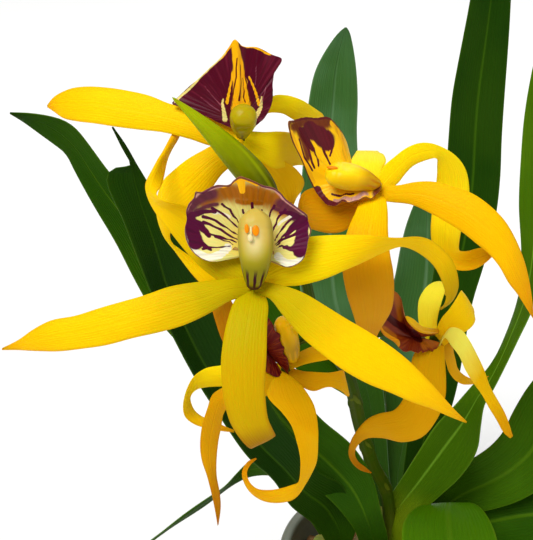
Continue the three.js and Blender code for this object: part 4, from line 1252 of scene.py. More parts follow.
@dataclass
class Flower:
    """One flower. Its tepals start at its place; its lip and column have a frame of their own."""

    name: str
    place: Point
    rise: Point
    face: Point
    lip: Lip
    column: Column
    tepals: dict[str, Tepal]
    stalk: Path

    def build(self) -> None:
        """Builds and dresses every piece of the flower."""
        stand = Matrix.Translation(self.place) @ Matrix.Rotation(LEAN, 4, "X")
        for name, tepal in self.tepals.items():
            tepal.build(f"{self.name}_{name}", self.place)
        crown = stand @ facing(self.rise, self.face)
        self.lip.build(self.name, crown)
        self.column.build(self.name, crown)
        self.build_stalk()

    def build_stalk(self) -> None:
        """Builds the ovary and stalk behind the flower, with a small bract at its foot."""
        mould = Mould()

        def ribs(share: np.ndarray, around: np.ndarray) -> np.ndarray:
            """Six low ribs on the ovary."""
            return 0.1 * np.cos(6 * math.pi * around + 2.5 * share) * smooth_step(0.3, 0.8, share)

        path = [*self.stalk, self.place]
        tube = Tube(path, (1.15, 1.1, 1.15, 1.35, 1.6, 1.9), relief=ribs, sides=30, steps=48,
                    round_ends=(0.02, 0.08))
        mould.add_rings(tube.rings())
        foot = Vector(self.stalk[0])
        up = (Vector(self.stalk[1]) - foot).normalized()
        points = [foot - up + Vector((0, -1.2, 0)), foot + up * 3 + Vector((0, -1.8, 0)),
                  foot + up * 7 + Vector((0, -1.5, 0.5))]
        bract = Ribbon(bract_rails(points, (2.4, 2.6, 0.5)), thickness=0.25, edge_thickness=0.1,
                       wave=0.1, steps=24, columns=9)
        mould.add_sheet(bract.sheet(), PAPERY)
        settle(mould, f"{self.name}_stalk", StemFinish("stalk_olive"))


# ---- the plant's own pieces


@dataclass
class Leaf(Ribbon):
    """One strap leaf, folded along its midrib."""

    fold: float = 1.2
    thickness: float = 1.2
    edge_thickness: float = 0.4
    wave: float = 0.5
    waves: float = 2.2
    steps: int = 108
    columns: int = 31
    finish: Finish = LeafFinish("leaf_green")

    def build(self, name: str) -> None:
        """Builds and dresses the leaf.

        Args:
            name: The end of the name of the node that it stands for.
        """
        mould = Mould()
        mould.add_sheet(self.sheet())
        settle(mould, f"leaf_{name}", self.finish)


@dataclass
class Spike:
    """The flower stem with its nodes and sheathing bracts, and the bud at its end."""

    path: Path = (
        (-4, -7, 113), (-5, -8, 130), (-8, -12, 146), (-15, -22, 165), (-23.5, -42, 198),
        (-31.2, -67, 235), (-40, -93, 263), (-47, -112, 285), (-51, -119, 304), (-55, -116, 317),
        (-57, -113, 322),
    )
    radii: Sequence[float] = (3, 2.9, 2.8, 2.7, 2.3, 1.9, 1.6, 1.3)
    nodes: Sequence[float] = (0.13, 0.3, 0.47, 0.63, 0.78, 0.9)
    bracts: int = 3
    bud_path: Path = (
        (-58.2, -118.8, 320.5), (-60, -126, 325), (-61, -134, 330), (-64, -138, 336),
        (-69, -138.5, 342), (-75, -137.5, 348), (-80, -136.5, 352.5), (-84.4, -136, 356.3),
    )
    bud_radii: Sequence[float] = (1.1, 1.25, 2.4, 3.5, 3.8, 3.4, 2.5, 1.4, 0.35)

    def swellings(self, share: np.ndarray, around: np.ndarray) -> np.ndarray:
        """Swells the stem a little at each of its nodes."""
        swell = sum(0.35 * np.exp(-(((share - at) / 0.008) ** 2)) for at in self.nodes)
        return swell + 0.05 * np.cos(9 * math.pi * around)

    def build(self) -> None:
        """Builds and dresses the spike and the bud."""
        mould = Mould()
        tube = Tube(self.path, self.radii, relief=self.swellings, sides=36, steps=170,
                    round_ends=(0.005, 0.012))
        mould.add_rings(tube.rings())
        line = centre_line(self.path, 200)
        for share in self.nodes[:self.bracts]:
            at = int(share * (len(line) - 1))
            ahead = unit(line[at + 4] - line[at - 4])
            points = line[at] + np.array([(0, -2.2, 0.4), (0, -2.9, 0.6), (0, -3.8, 1.0)])
            points += ahead * np.array([[0], [5], [10.5]])
            bract = Ribbon(bract_rails(points, (4.2, 3.8, 0.5)), thickness=0.3, edge_thickness=0.1,
                           wave=0.1, steps=26, columns=13)
            mould.add_sheet(bract.sheet(), PAPERY)
        settle(mould, "spike", StemFinish("spike_green"))

        def seams(share: np.ndarray, around: np.ndarray) -> np.ndarray:
            """Three shallow seams between the closed sepals."""
            depth = np.exp(-((np.cos(1.5 * math.pi * (around + 0.1)) / 0.12) ** 2))
            return -0.16 * depth * smooth_step(0.15, 0.4, share)

        bud = Mould()
        body = Tube(self.bud_path, self.bud_radii, relief=seams, sides=60, steps=96,
                    round_ends=(0.01, 0.03))
        bud.add_rings(body.rings())
        settle(bud, "bud", BudFinish("bud_lime"))


@dataclass
class Pseudobulb:
    """A furrowed, slightly flattened pseudobulb with papery sheaths round its foot."""

    name: str
    x: float
    y: float
    height: float
    radius: float
    flattening: float = 0.85
    foot: float = 83.0
    girth: Sequence[float] = (0.6, 0.9, 1.0, 0.97, 0.9, 0.8, 0.68, 0.6, 0.52)
    sheaths: int = 4
    seed: int = 1
    finish: Finish = BulbFinish("pseudobulb_green")

    def build(self) -> None:
        """Builds and dresses the pseudobulb."""
        mould = Mould()
        chance = np.random.default_rng(self.seed)
        rows, sides = 60, 72
        share = np.linspace(0, 1, rows)
        s, around = np.meshgrid(share, circle(sides), indexing="ij")
        girth = spread(self.girth, share)
        furrow = 0.035 * np.cos(11 * around + 1.3 * np.sin(3 * around)) * smooth_step(0.05, 0.3, s)
        furrow = furrow * smooth_step(1.0, 0.8, s) + 0.012 * np.cos(23 * around)
        radius = self.radius * (girth[:, None] + furrow)
        cap = np.sqrt(np.maximum(1 - np.clip((share - 0.95) / 0.05, 0, 1) ** 2, 0.2))
        radius = radius * cap[:, None]
        height = self.foot + (self.height + 1.3) * s
        rings = np.stack([self.x + radius * np.sin(around),
                          self.y - radius * np.cos(around) * self.flattening, height], -1)
        mould.add_rings(rings)
        for index in range(self.sheaths):
            self.add_sheath(mould, chance, index)
        settle(mould, f"pseudobulb_{self.name}", self.finish)

    def add_sheath(self, mould: Mould, chance: np.random.Generator, index: int) -> None:
        """Adds one torn papery sheath that hugs the pseudobulb.

        Args:
            mould: The pseudobulb's solids.
            chance: The source of its uneven shape.
            index: Which of the sheaths it is.
        """
        middle = index * math.pi / 2 + chance.uniform(-0.5, 0.5)
        reach = chance.uniform(0.7, 1.1)
        top = chance.uniform(0.35, 0.8)
        s, v = np.meshgrid(np.linspace(0, 1, 22), np.linspace(-1, 1, 21), indexing="ij")
        ragged = 1 - 0.55 * np.abs(v) ** 1.6 + 0.05 * np.sin(v * 17 + index)
        level = s * top * ragged
        out = self.radius * spread(self.girth, level) * 1.05 + 0.35 + 0.9 * s**3
        turn = middle + v * reach * (1 - 0.35 * s)
        points = np.stack([self.x + out * np.sin(turn),
                           self.y - out * np.cos(turn) * self.flattening,
                           self.foot + self.height * level], -1)
        mould.add_sheet(Sheet(points, np.full(s.shape, 0.14), s, v), PAPERY)


@dataclass
class PottingMix:
    """The bed of bark chips in the pot."""

    radius: float = 48.0
    floor: float = 2.9
    floor_radius: float = 36.2
    level: float = 83.0
    chips: int = 420
    chip_size: Sequence[tuple[float, float]] = ((2.2, 5.4), (1.4, 3.2), (0.7, 1.5))
    chip_facets: int = 7
    seed: int = 7
    finish: Finish = BarkFinish("bark_mix")

    def build(self) -> None:
        """Builds the bed and scatters the chips on it."""
        mould = Mould()
        rows, sides = 34, 96
        chance = np.random.default_rng(self.seed)
        outline = [(0.5, self.floor), (self.floor_radius, self.floor),
                   (self.radius, self.level - 0.6)]
        steps = rows - len(outline)
        outline += [(self.radius * (1 - k / steps) + 0.4, self.level) for k in range(1, steps + 1)]
        rings = []
        for radius, height in outline:
            bumps = chance.uniform(-0.7, 0.7, sides) if height > self.floor else 0
            rings.append(ring(radius, height + bumps, sides))
        mould.add_rings(np.array(rings), 0.1)
        for _ in range(self.chips):
            self.add_chip(mould, chance)
        settle(mould, "potting_mix", self.finish)

    def add_chip(self, mould: Mould, chance: np.random.Generator) -> None:
        """Adds one angular chip of bark.

        Args:
            mould: The bed's solids.
            chance: The source of its size, shape and place.
        """
        size = np.array([chance.uniform(low, high) for low, high in self.chip_size])
        rings = ball((0, 0, 0), (1, 1, 1), 11, 7)
        for _ in range(self.chip_facets):
            way = unit(chance.normal(size=3))
            limit = chance.uniform(0.45, 0.8)
            beyond = np.maximum(rings @ way - limit, 0)
            rings = rings - beyond[..., None] * way
        rings = rings * size / 0.7
        angle, tilt = chance.uniform(0, 2 * math.pi), chance.normal(0, 0.3)
        turn = Matrix.Rotation(angle, 3, "Z") @ Matrix.Rotation(tilt, 3, "X")
        away = self.radius * 0.93 * math.sqrt(chance.uniform(0, 1))
        around = chance.uniform(0, 2 * math.pi)
        spot = np.array([away * math.cos(around), away * math.sin(around),
                         self.level + chance.uniform(0.2, 2.2)])
        mould.add_rings(rings @ np.array(turn).T + spot, chance.uniform(0.15, 0.95))


@dataclass
class Pot:
    """The round plastic pot."""

    height: float = 100.0
    base_radius: float = 38.0
    top_radius: float = 51.5
    rim_radius: float = 55.0
    rim_depth: float = 7.0
    wall: float = 1.8
    floor: float = 2.6
    sides: int = 160
    finish: Finish = PotFinish("pot_grey_plastic")

    def build(self) -> None:
        """Builds and dresses the pot from its outline."""
        fine = []
        outline = self.outline()
        for (r1, z1), (r2, z2) in zip(outline, outline[1:]):
            count = 2 if math.hypot(r2 - r1, z2 - z1) < 3 else 6
            fine += [(r1 + (r2 - r1) * k / count, z1 + (z2 - z1) * k / count)
                     for k in range(count)]
        fine.append(outline[-1])
        mould = Mould()
        mould.add_rings(np.array([ring(radius, height, self.sides) for radius, height in fine]))
        settle(mould, "pot", self.finish)

    def outline(self) -> list[tuple[float, float]]:
        """Gives the pot's outline.

        Returns:
            Radii and heights, from the foot over the rim to the floor inside.
        """
        foot, top, rim, high = self.base_radius, self.top_radius, self.rim_radius, self.height
        under, inner = high - self.rim_depth, top - self.wall
        return [
            (0.3, 1.2), (foot - 5, 1.2), (foot - 4.2, 0.1), (foot - 4, 0), (foot - 0.8, 0),
            (foot - 0.2, 0.4), (foot + 0.1, 1.2), (foot + 3.0, 20), (foot + 7.2, 50),
            (top - 1.1, under - 8.2), (top - 0.5, under - 8), (top - 0.4, under - 7.0),
            (top - 0.7, under - 6.8), (top - 0.1, under - 0.4), (top + 0.4, under),
            (rim - 1.3, under + 0.1), (rim - 0.4, under + 0.5), (rim, under + 1.4),
            (rim - 0.1, high - 1.8), (rim - 0.5, high - 0.6), (rim - 1.4, high),
            (inner + 1.6, high), (inner + 0.5, high - 0.5), (inner, high - 1.6),
            (inner - 0.1, under), (foot + 7.2 - self.wall, 50),
            (foot - self.wall + 0.6, self.floor + 1), (foot - self.wall - 0.4, self.floor),
            (0.3, self.floor),
        ]


# ---- the five flowers

GOLD = TepalFinish(
    "tepal_gold", foot=tint(232, 182, 0), middle=tint(250, 200, 0), outer=tint(246, 188, 0),
    tip=tint(238, 168, 0), back=tint(204, 142, 0), greenness=0.06)
# Painted shade: a darker copy of gold for the low and far flowers, which sit in shade.
SHADED_GOLD = TepalFinish(
    "tepal_shaded_gold", foot=tint(196, 142, 0), middle=tint(226, 166, 0), outer=tint(224, 160, 0),
    tip=tint(212, 140, 0), back=tint(180, 118, 0), greenness=0.04)
LEMON = TepalFinish("tepal_lemon")
CANARY = TepalFinish(
    "tepal_canary", foot=tint(240, 190, 0), middle=tint(250, 202, 0), greenness=0.04)
SHADY = replace(
    LEMON, name="tepal_shady", foot=tint(186, 166, 0), middle=tint(196, 158, 0),
    outer=tint(158, 104, 0), tip=tint(160, 100, 0))
# Painted light: lemon with its foot lightened against the shadow that falls there, and a darker
# outer part and tip.
FOOT_LIT_LEMON = replace(
    LEMON, name="tepal_foot_lit_lemon", foot=tint(240, 210, 0), middle=tint(240, 192, 0),
    outer=tint(200, 162, 0), tip=tint(184, 144, 0))
# Painted shade: canary with its outer part and tip darkened to orange-brown, where the petal runs
# on in shade.
SHADED_TIP = replace(CANARY, name="tepal_shaded_tip", outer=tint(160, 106, 0), tip=tint(190, 120, 0))
# Painted light: a lighter copy of canary for the top flower's right tepals, against the shade they
# get.
LIT_CANARY = replace(
    CANARY, name="tepal_lit_canary", foot=tint(255, 220, 0), middle=tint(255, 222, 4),
    outer=tint(255, 216, 0), tip=tint(250, 200, 0), back=tint(252, 204, 0))
SUNLIT = replace(
    GOLD, name="tepal_sunlit", foot=tint(255, 218, 20), middle=tint(255, 230, 50),
    outer=tint(255, 232, 50), tip=tint(255, 222, 30))
SUNNY = replace(
    GOLD, name="tepal_sunny", foot=tint(252, 208, 0), middle=tint(252, 216, 6),
    outer=tint(240, 182, 0), tip=tint(236, 168, 0))
# Painted shade: gold with a bright foot and the rest darkened, for the sepal under the right
# flower's lip.
SHADED_BELOW_FOOT = replace(
    GOLD, name="tepal_shaded_below_foot", foot=tint(252, 200, 0), middle=tint(204, 142, 0),
    outer=tint(194, 130, 0), tip=tint(192, 126, 0), greenness=0.1)
# Painted shade: a darkened gold for the right flower's near sepal, which lies under its lip.
ORANGE = replace(
    GOLD, name="tepal_orange", foot=tint(196, 134, 0), middle=tint(204, 142, 0),
    outer=tint(214, 156, 0), tip=tint(220, 160, 0))
# Painted shade: warm and amber are also darker copies of gold for tepals of the low and far
# flowers.
WARM = replace(
    SHADED_GOLD, name="tepal_warm", foot=tint(230, 176, 0), middle=tint(240, 178, 0),
    outer=tint(228, 160, 0), tip=tint(214, 136, 0))
AMBER = replace(
    SHADED_GOLD, name="tepal_amber", foot=tint(220, 168, 0), middle=tint(216, 156, 0),
    outer=tint(190, 124, 0), tip=tint(178, 112, 0))
RIPE = replace(
    GOLD, name="tepal_ripe", middle=tint(240, 182, 0), outer=tint(230, 162, 0),
    tip=tint(226, 150, 0))
# Painted highlight: a pale foot on a darker gold petal.
HIGHLIGHT_FOOT = replace(
    GOLD, name="tepal_highlight_foot", foot=tint(255, 240, 90), middle=tint(236, 184, 0),
    outer=tint(218, 158, 0), tip=tint(214, 150, 0), greenness=0.24)
SHELL = LipFinish("lip_shell")
FLAG = LipFinish(
    "lip_flag", ground=tint(80, 0, 26), heart=tint(86, 6, 18), gold=tint(240, 172, 0),
    pale=tint(226, 206, 120), rim=tint(150, 76, 92), streak=tint(128, 34, 56), streaks=0.3,
    edge=0.0, dark=tint(96, 20, 6), back=tint(150, 90, 30))
SIDE_SHELL = LipFinish(
    "lip_side_shell", ground=tint(250, 196, 6), heart=tint(252, 206, 10), brown=tint(110, 50, 20),
    pale=tint(246, 214, 90), rim=tint(190, 140, 130), gold=tint(240, 178, 10),
    dark=tint(90, 20, 30), back=tint(190, 130, 30))
MAROON = LipFinish(
    "lip_maroon", ground=tint(118, 34, 4), heart=tint(70, 4, 4), gold=tint(226, 150, 6),
    brown=tint(170, 92, 8), streak=tint(160, 70, 4), streaks=0.5, dark=tint(64, 2, 4),
    back=tint(150, 76, 10), edge=0.2)
DARK_MAROON = replace(
    MAROON, name="lip_dark_maroon", ground=tint(92, 8, 10), heart=tint(60, 0, 8),
    back=tint(96, 12, 10))

FRONT_FLOWER = Flower(
    name="front_flower", place=(-64.6, -153.3, 312.5), rise=(-0.05, 1, 0), face=(0, 0, 1),
    lip=Lip(
        rim=table("""
    -30 84 22, -2 21 0, -13 -11 2, -20 -17 3, -22 -9 4, -22 3 6, -21 12 7, -14 16 5, -10 25 4,
    -2 25 3, 6 25 7, 0 18 9, 8 17 9, 14 14 7, 6 13 10, 12 -1 -5, 20 8 3, 18 6 3, 31 1 -4, 13 10 11,
    14 6 7, 14 -4 -6, 21 -9 -10, 17 -8 -8, 30 -9 -5, 13 -10 -7, 15 -18 -12, 15 -12 -5, 18 -14 -2,
    15 -13 0, 2 -16 -5, 6 -22 -1, -8 -21 -3, -5 -22 -2, -9 -25 -3, -20 -14 -6, -22 -4 -6, -18 9 -4,
    -9 16 -2, -5 17 -1, -12 -12 -1
        """),
        centre=(7, 84, 21), power=2.0, finish=SHELL,
        strokes={
            # Painted shade: the brown strokes fill the shaded inside of the hood, under its rim.
            "brown": """
    49 59, -102 217 79, 17 7 2, 14 6 2, 17 5 1, 15 1 -1, 15 -3 -1, 15 -3 -2;
    59 54, -9 230 80, 23 -2 -3, 17 -4 -4, 16 -6 -4, 21 -8 -4, 14 -11 -6, 16 -11 -5;
    17 17, -24 213 66, 17 -4 -2, 12 0 -1, 17 -2 -2, 13 -2 -1
            """,
            "dusk": """
    27 35, -147 185 67, 7 11 5, 6 10 5, 12 11 5, 13 6 3, 10 4 0, 13 4 1;
    32 32, 82 201 59, 15 -10 -3, 12 -9 -2, 14 -13 -2, 9 -11 -1;
    15 10, -127 193 68, 13 4 -1, 14 6 2, 14 3 -1, 12 1 -1;
    15 10, 115 160 47, -12 12 1, -11 10 2, -16 5 1, -12 5 3
            """,
            "dark": """
    30 37, -143 174 61, 2 -14 -6, 2 -14 -5, 4 -16 -3, 3 -12 -2;
    22 12, -131 164 53, 13 -5 -4, 4 -10 -5, 8 -7 -4, 6 -10 -3;
    15 7, -131 123 45, 8 -5 -3, 8 -7 -3, 9 -6 -2, 9 -8 -3;
    17 7, -137 184 65, 14 3 -2, 15 4 0, 17 0 -3, 11 -2 -3;
    30 35, 133 155 50, -2 -17 -5, -1 -18 -1, -4 -18 -2, -4 -17 -1;
    22 12, 123 150 46, -9 -3 -3, -8 -7 -4, -7 -8 -4, -7 -8 -2;
    15 7, 119 93 40, -9 -1 -3, -8 -3 -2, -8 2 -3, -10 3 -2;
    17 7, 125 164 50, -10 7 0, -11 6 0, -14 2 -1, -10 0 -2;
    3 6, -25 160 37, -4 10 5, -7 7 4, -5 9 5, -3 8 4, -12 7 6, -6 6 5;
    3 7, -26 148 33, -10 10 4, -9 9 5, -9 10 5, -11 9 6, -11 7 5, -11 6 6;
    3 8, -29 132 28, -14 8 4, -11 10 4, -15 9 5, -12 10 5, -13 6 5, -16 4 6;
    3 8, -28 119 25, -17 9 3, -12 8 4, -12 10 4, -16 8 5, -12 7 5, -14 5 4;
    3 7, -33 113 25, -11 6 1, -16 4 3, -13 6 2, -15 4 4, -13 4 3, -12 6 5;
    2 6, -42 107 24, -8 8 2, -13 3 2, -11 6 3, -11 5 2;
    2 6, -48 104 25, -17 -1 3, -17 -1 3, -17 2 4, -17 -4 5;
    2 6, 48 159 37, 1 7 3, 3 7 3, 2 7 4, 3 7 3, 5 5 3, 3 6 4;
    3 7, 59 134 30, 3 11 3, 6 8 3, 3 11 4, 6 8 4, 9 6 4, 6 8 5;
    3 7, 63 113 26, 6 11 3, 8 10 3, 8 10 4, 8 9 4, 9 8 4, 12 6 5;
    3 7, 64 103 26, 9 7 2, 8 10 2, 9 7 3, 9 7 3, 9 7 4, 9 6 3;
    3 7, 66 99 26, 8 6 2, 7 8 1, 8 3 2, 10 3 3, 10 4 3, 9 4 3;
    2 6, 68 93 27, 6 4 1, 6 1 1, 6 -2 2, 6 1 1;
    6 7, 11 206 61, 0 -6 -4, 1 -6 -4;
    5 6, -12 192 53, 0 -4 -2, 1 -4 -2;
    5 5, 34 189 50, -1 -6 -3, 1 -4 -2
            """,
            "gold": """
    7 10, -58 246 94, 9 2 0, 13 5 4, 9 5 6, 14 4 5, 9 0 -2, 11 -5 -5, 11 -5 -6, 8 -4 -4;
    22 12, -16 262 109, 4 -8 -8, 1 -6 -6, 0 -6 -5, 1 -8 -7
            """,
            "pale": """
    10 20, -152 145 54, 0 -13 -1, 1 -13 -1, 6 -13 -2, 6 -8 -3, 9 -6 -3, 10 -6 -3, 11 -6 -4,
    11 -1 -3, 11 2 -2, 12 3 -3, 10 8 -2, 10 9 -1;
    12 20, 145 111 50, -3 -10 -1, -3 -13 -2, -3 -10 -1, -8 -12 -3, -8 -7 -3, -12 -4 -3, -11 -1 -3,
    -12 2 -3, -8 8 -2, -8 8 -2;
    6 8, -46 176 46, -8 6 3, -8 3 3, -12 2 3, -10 1 3;
    6 7, 74 151 36, 6 6 3, 8 5 2, 8 4 3, 9 4 4
            """,
            # The hood's rim: its pale pink edge, with a painted highlight where it catches the
            # light.
            "rim": """
    7 7, 38 243 88, 12 -4 -3, 16 -4 -2, 12 -11 -7, 9 -11 -8, 14 -12 -6, 10 -8 -3, 13 -10 -1,
    11 -8 -1;
    6 6, -150 193 73, 8 13 6, 7 10 5, 11 11 6, 9 6 4, 16 6 0, 14 3 1, 13 3 1, 13 3 -1
            """,
        },
    ),
    column=Column(
        table("0.4 0.2 2.2, 0.8 2.4 4.6, 1.2 6 6.4, 1.5 11 7.8, 1.6 15.4 8.8, 1.5 19 9.2"),
        marks=table("""
    -0.4 14.1 11.5 0.55 1.12 1, 1.7 13.6 11.5 0.85 1.38 1, 0.6 13.6 11.5 0.28 1.12 2,
    0.3 11.9 11.6 0.62 0.88 2
        """),
    ),
    stalk=((-53.6, -120.6, 305), (-58, -133, 306), (-63, -147, 309)),
    tepals={
        "left_petal": Tepal(table("""
    -5 14 20 0 -20 -45 6, -59 -24 6 14 -21 -47 8, -74 -17 -1 32 -31 -70 9, -68 -9 -8 37 -39 -85 9,
    -57 -8 -18 32 -38 -84 9, -57 -4 -17 30 -37 -81 9, -58 2 -19 25 -37 -81 9,
    -63 8 -24 20 -34 -74 8, -64 12 -20 15 -32 -71 7, -47 9 -30 7 -23 -50 5, -48 15 -39 2 -10 -23 3,
    -46 9 -28 0 -2 -5 1
        """), finish=LEMON, phase=0.4),
        "dorsal_sepal": Tepal(table("""
    -28 1 -13 55 1 2 5, -20 -44 -16 88 0 0 8, -12 -37 -28 98 0 0 9, -10 -33 -38 106 0 0 9,
    -5 -23 -37 110 0 0 9, 3 -23 -48 105 0 0 9, 7 -18 -52 99 2 5 9, 15 -9 -56 90 7 14 8,
    21 -1 -38 79 12 24 6, 23 17 -37 65 12 27 2, 8 26 -13 53 11 22 0, 5 36 6 33 6 13 0,
    7 24 17 10 3 4 0
        """), finish=SHADY),
        "right_petal": Tepal(table("""
    17 10 12 -17 -16 -37 5, 53 -24 0 -30 -13 -28 8, 49 -17 -10 -42 -25 -54 9,
    54 -22 -23 -52 -33 -72 9, 55 -21 -27 -58 -36 -79 9, 56 -18 -29 -63 -38 -85 9,
    57 -12 -36 -61 -36 -81 9, 51 -6 -41 -49 -31 -67 9, 47 -4 -50 -37 -23 -50 7,
    39 4 -50 -17 -14 -31 5, 34 4 -40 -8 -8 -17 3, 34 5 -37 -2 -2 -4 0
        """), finish=LEMON),
        "left_sepal": Tepal(table("""
    -20 3 -13 32 16 34 4, -53 10 17 37 31 67 6, -48 17 29 55 35 78 6, -48 25 42 68 25 76 6,
    -41 26 43 75 2 56 5, -32 27 34 63 -37 39 2, -20 25 30 39 -67 22 -3, -9 15 21 32 -52 6 -4,
    -1 18 19 38 -4 -13 12 30, 13 23 23 30 27 -14 18 30, 13 24 17 23 38 -13 16 30,
    13 33 12 21 41 -7 14 35, 16 56 25 19 23 -10 8, 19 64 20 6 -2 -3 0
        """), finish=LEMON),
        "right_sepal": Tepal(table("""
    25 25 35 -25 -24 -53 4, 50 21 40 -15 -36 -79 6, 58 14 32 -13 -49 -108 6, 50 -2 8 -8 -41 -103 8,
    51 -17 9 -6 -15 -91 9, 49 -24 9 7 15 -75 9, 42 -22 5 10 40 -58 7, 36 -17 5 11 57 -48 3,
    40 9 -3 1 48 -52 2, 36 15 -15 -6 30 -55 2, 34 10 -27 -18 16 -50 3, 27 8 -32 -30 2 -42 4,
    17 2 -43 -32 1 -33 4, 6 7 -45 -28 1 -21 3, -13 8 -41 -20 -3 -7 2, -23 6 -24 -4 3 5 0
        """), finish=FOOT_LIT_LEMON),
    },
)

TOP_FLOWER = Flower(
    name="top_flower", place=(-67.7, -126.1, 343.1), rise=(-0.06, 1, 0.05), face=(0, 0, 1),
    lip=Lip(
        rim=table("""
    -24 23 19, -23 12 -2, -30 17 -4, -47 22 -11, -36 17 -12, -15 8 -6, 12 11 5, 33 26 14, 25 16 10,
    39 30 13, 25 20 8, 25 23 8, 17 17 5, 15 -14 -4, 39 -5 -5, 39 -19 -11, 24 -11 -9, -19 -30 -2,
    -8 -33 -3, -1 -20 -2, -4 -28 0, -13 -27 3, -21 -22 3, -21 -11 2
        """),
        centre=(0, 36, 20), power=1.3, finish=FLAG, midrib=0.9, rows=240, columns=84,
        strokes={
            "gold": """
    16 23, 0 242 47, 0 -16 -2, 2 -14 -3, 1 -15 -2, 2 -15 -3;
    23 34, 5 182 37, 0 -16 -2, 0 -18 -3, 4 -11 -2, -3 -16 -2;
    31 49, 7 131 29, 0 -15 -2, 0 -16 -2, -1 -15 -1, -1 -15 -2;
    4 8, -10 162 33, -4 -20 -3, -6 -17 -3, -5 -18 -3, -5 -19 -3;
    4 8, 31 150 30, 6 -16 -3, 6 -18 -4, 5 -18 -4, 4 -19 -3;
    4 5, 15 229 43, 13 -5 -2, 14 0 -1, 11 -3 -2, 13 -5 -3, 9 -7 -3, 13 -4 -4;
    5 8, -59 187 28, 12 10 5, 14 9 3, 10 12 4, 12 10 4
            """,
            "pale": """
    4 13, -39 98 20, -3 -11 -2, 2 -13 -1, 1 -10 -1, 1 -18 1;
    4 13, 60 98 16, -2 -14 -1, -2 -13 0, -7 -12 1, -8 -11 1;
    6 6, -167 102 -13, 18 15 7, 18 12 8, 19 14 7, 15 15 7, 18 13 6, 17 14 6, 18 14 5, 17 15 5
            """,
            "rim": """
    1 2, -84 135 15, 8 -13 0, 9 -13 1, 11 -14 0, 10 -12 1;
    1 2, -97 107 8, 12 -11 2, 11 -9 1, 13 -10 2, 11 -8 2;
    1 2, 75 133 17, -3 -14 -1, -4 -13 -1, -5 -11 0, -7 -13 0;
    1 2, 54 188 33, -4 -15 -2, -1 -14 -3, -2 -16 -2, -2 -14 -2
            """,
            "dark": """
    2 4, 3 197 40, -3 -24 -4, -1 -24 -3, -6 -24 -5, -8 -23 -3;
    2 3, 9 181 36, -1 -25 -3, 0 -20 -3, -4 -22 -3, -3 -23 -2;
    2 4, 20 172 34, 0 -22 -3, 4 -19 -3, 3 -21 -3, 3 -21 -4;
    2 3, 13 147 31, 1 -16 -2, 2 -15 -2, -3 -17 -2, 4 -13 -2
            """,
        },
    ),
    column=Column(
        table("0.3 0.2 2.2, 0.6 1.6 4.6, 0.9 3 7.5, 1.1 4.2 10.5, 1.2 5 13"),
        wide=(1.5, 2.2, 2.9, 3.3, 3.4, 3.3, 2.8), deep=(1.5, 2.1, 2.6, 3.0, 3.1, 3.0, 2.5),
        finish=ColumnFinish(
            "column_olive", olive=tint(150, 140, 0), body=tint(180, 162, 4),
            cream=tint(176, 156, 2), stripe=tint(110, 90, 0), white=tint(186, 166, 4),
        ),
    ),
    stalk=((-57.6, -114.6, 324), (-62, -114, 331), (-66, -120, 339)),
    tepals={
        "left_sepal": Tepal(table("""
    0 19 18 -8 -20 -43 3, -69 18 30 -8 -34 -74 7, -66 14 14 -5 -33 -72 9, -54 13 10 -13 -31 -70 9,
    -54 23 14 -27 -37 -82 9, -56 21 7 -29 -40 -87 9, -62 24 5 -32 -40 -89 9,
    -61 24 -4 -27 -39 -86 8, -57 23 -15 -14 -32 -70 6, -43 11 -23 0 -16 -36 3, -22 6 -24 1 -3 -6 0
        """), finish=CANARY),
        "right_sepal": Tepal(table("""
    21 27 11 -24 -12 -27 3, 34 38 48 -19 -21 -46 6, 32 34 25 -19 -20 -42 9, 35 25 -5 -16 -20 -44 9,
    34 24 -18 -19 -22 -49 9, 29 34 -24 -20 -23 -49 8, 27 42 -28 -17 -20 -42 6,
    18 51 -32 -12 -11 -25 3, 0 40 -34 -5 -5 -10 0
        """), finish=LIT_CANARY),
        "left_petal": Tepal(table("""
    -8 14 12 21 -16 -36 4, -42 -12 -21 26 -27 -60 8, -42 -15 -20 42 -28 -60 12,
    -44 -11 -23 60 -27 -72 14, -44 6 -36 71 -32 -81 14, -32 16 -36 64 -40 -88 12,
    -17 12 -47 54 -33 -72 8, -3 0 -47 37 -22 -49 5, 15 -4 -57 25 -11 -25 4, 29 -5 -48 47 -8 -18 4,
    44 -21 -58 63 -2 -5 4, 47 -24 -52 52 1 2 4, 20 -35 -54 55 9 21 4, 20 -38 -47 27 5 12 3,
    19 -29 -28 11 2 5 0
        """), finish=SHADED_TIP),
        "right_petal": Tepal(table("""
    13 14 12 -16 -18 -39 3, 42 6 -5 -16 -29 -62 7, 40 34 -9 -13 -40 -88 9, 36 57 -20 -11 -39 -85 8,
    35 61 -34 -8 -31 -69 7, 29 59 -39 -6 -26 -57 5, 26 59 -40 -6 -22 -48 4, 22 57 -43 -6 -16 -36 3,
    16 57 -44 -3 -8 -17 1, 7 51 -34 0 -3 -6 0
        """), finish=LIT_CANARY),
        "dorsal_sepal": Tepal(table("""
    -13 10 -17 39 1 2 3, 15 15 -49 69 8 19 6, 26 22 -47 86 14 29 8, 27 24 -43 96 16 35 8,
    22 21 -40 94 16 36 8, 20 16 -36 67 17 36 6, 17 19 -31 37 15 33 4, 12 16 -25 11 9 18 2,
    6 15 -15 2 2 4 0
        """), finish=CANARY),
    },
)

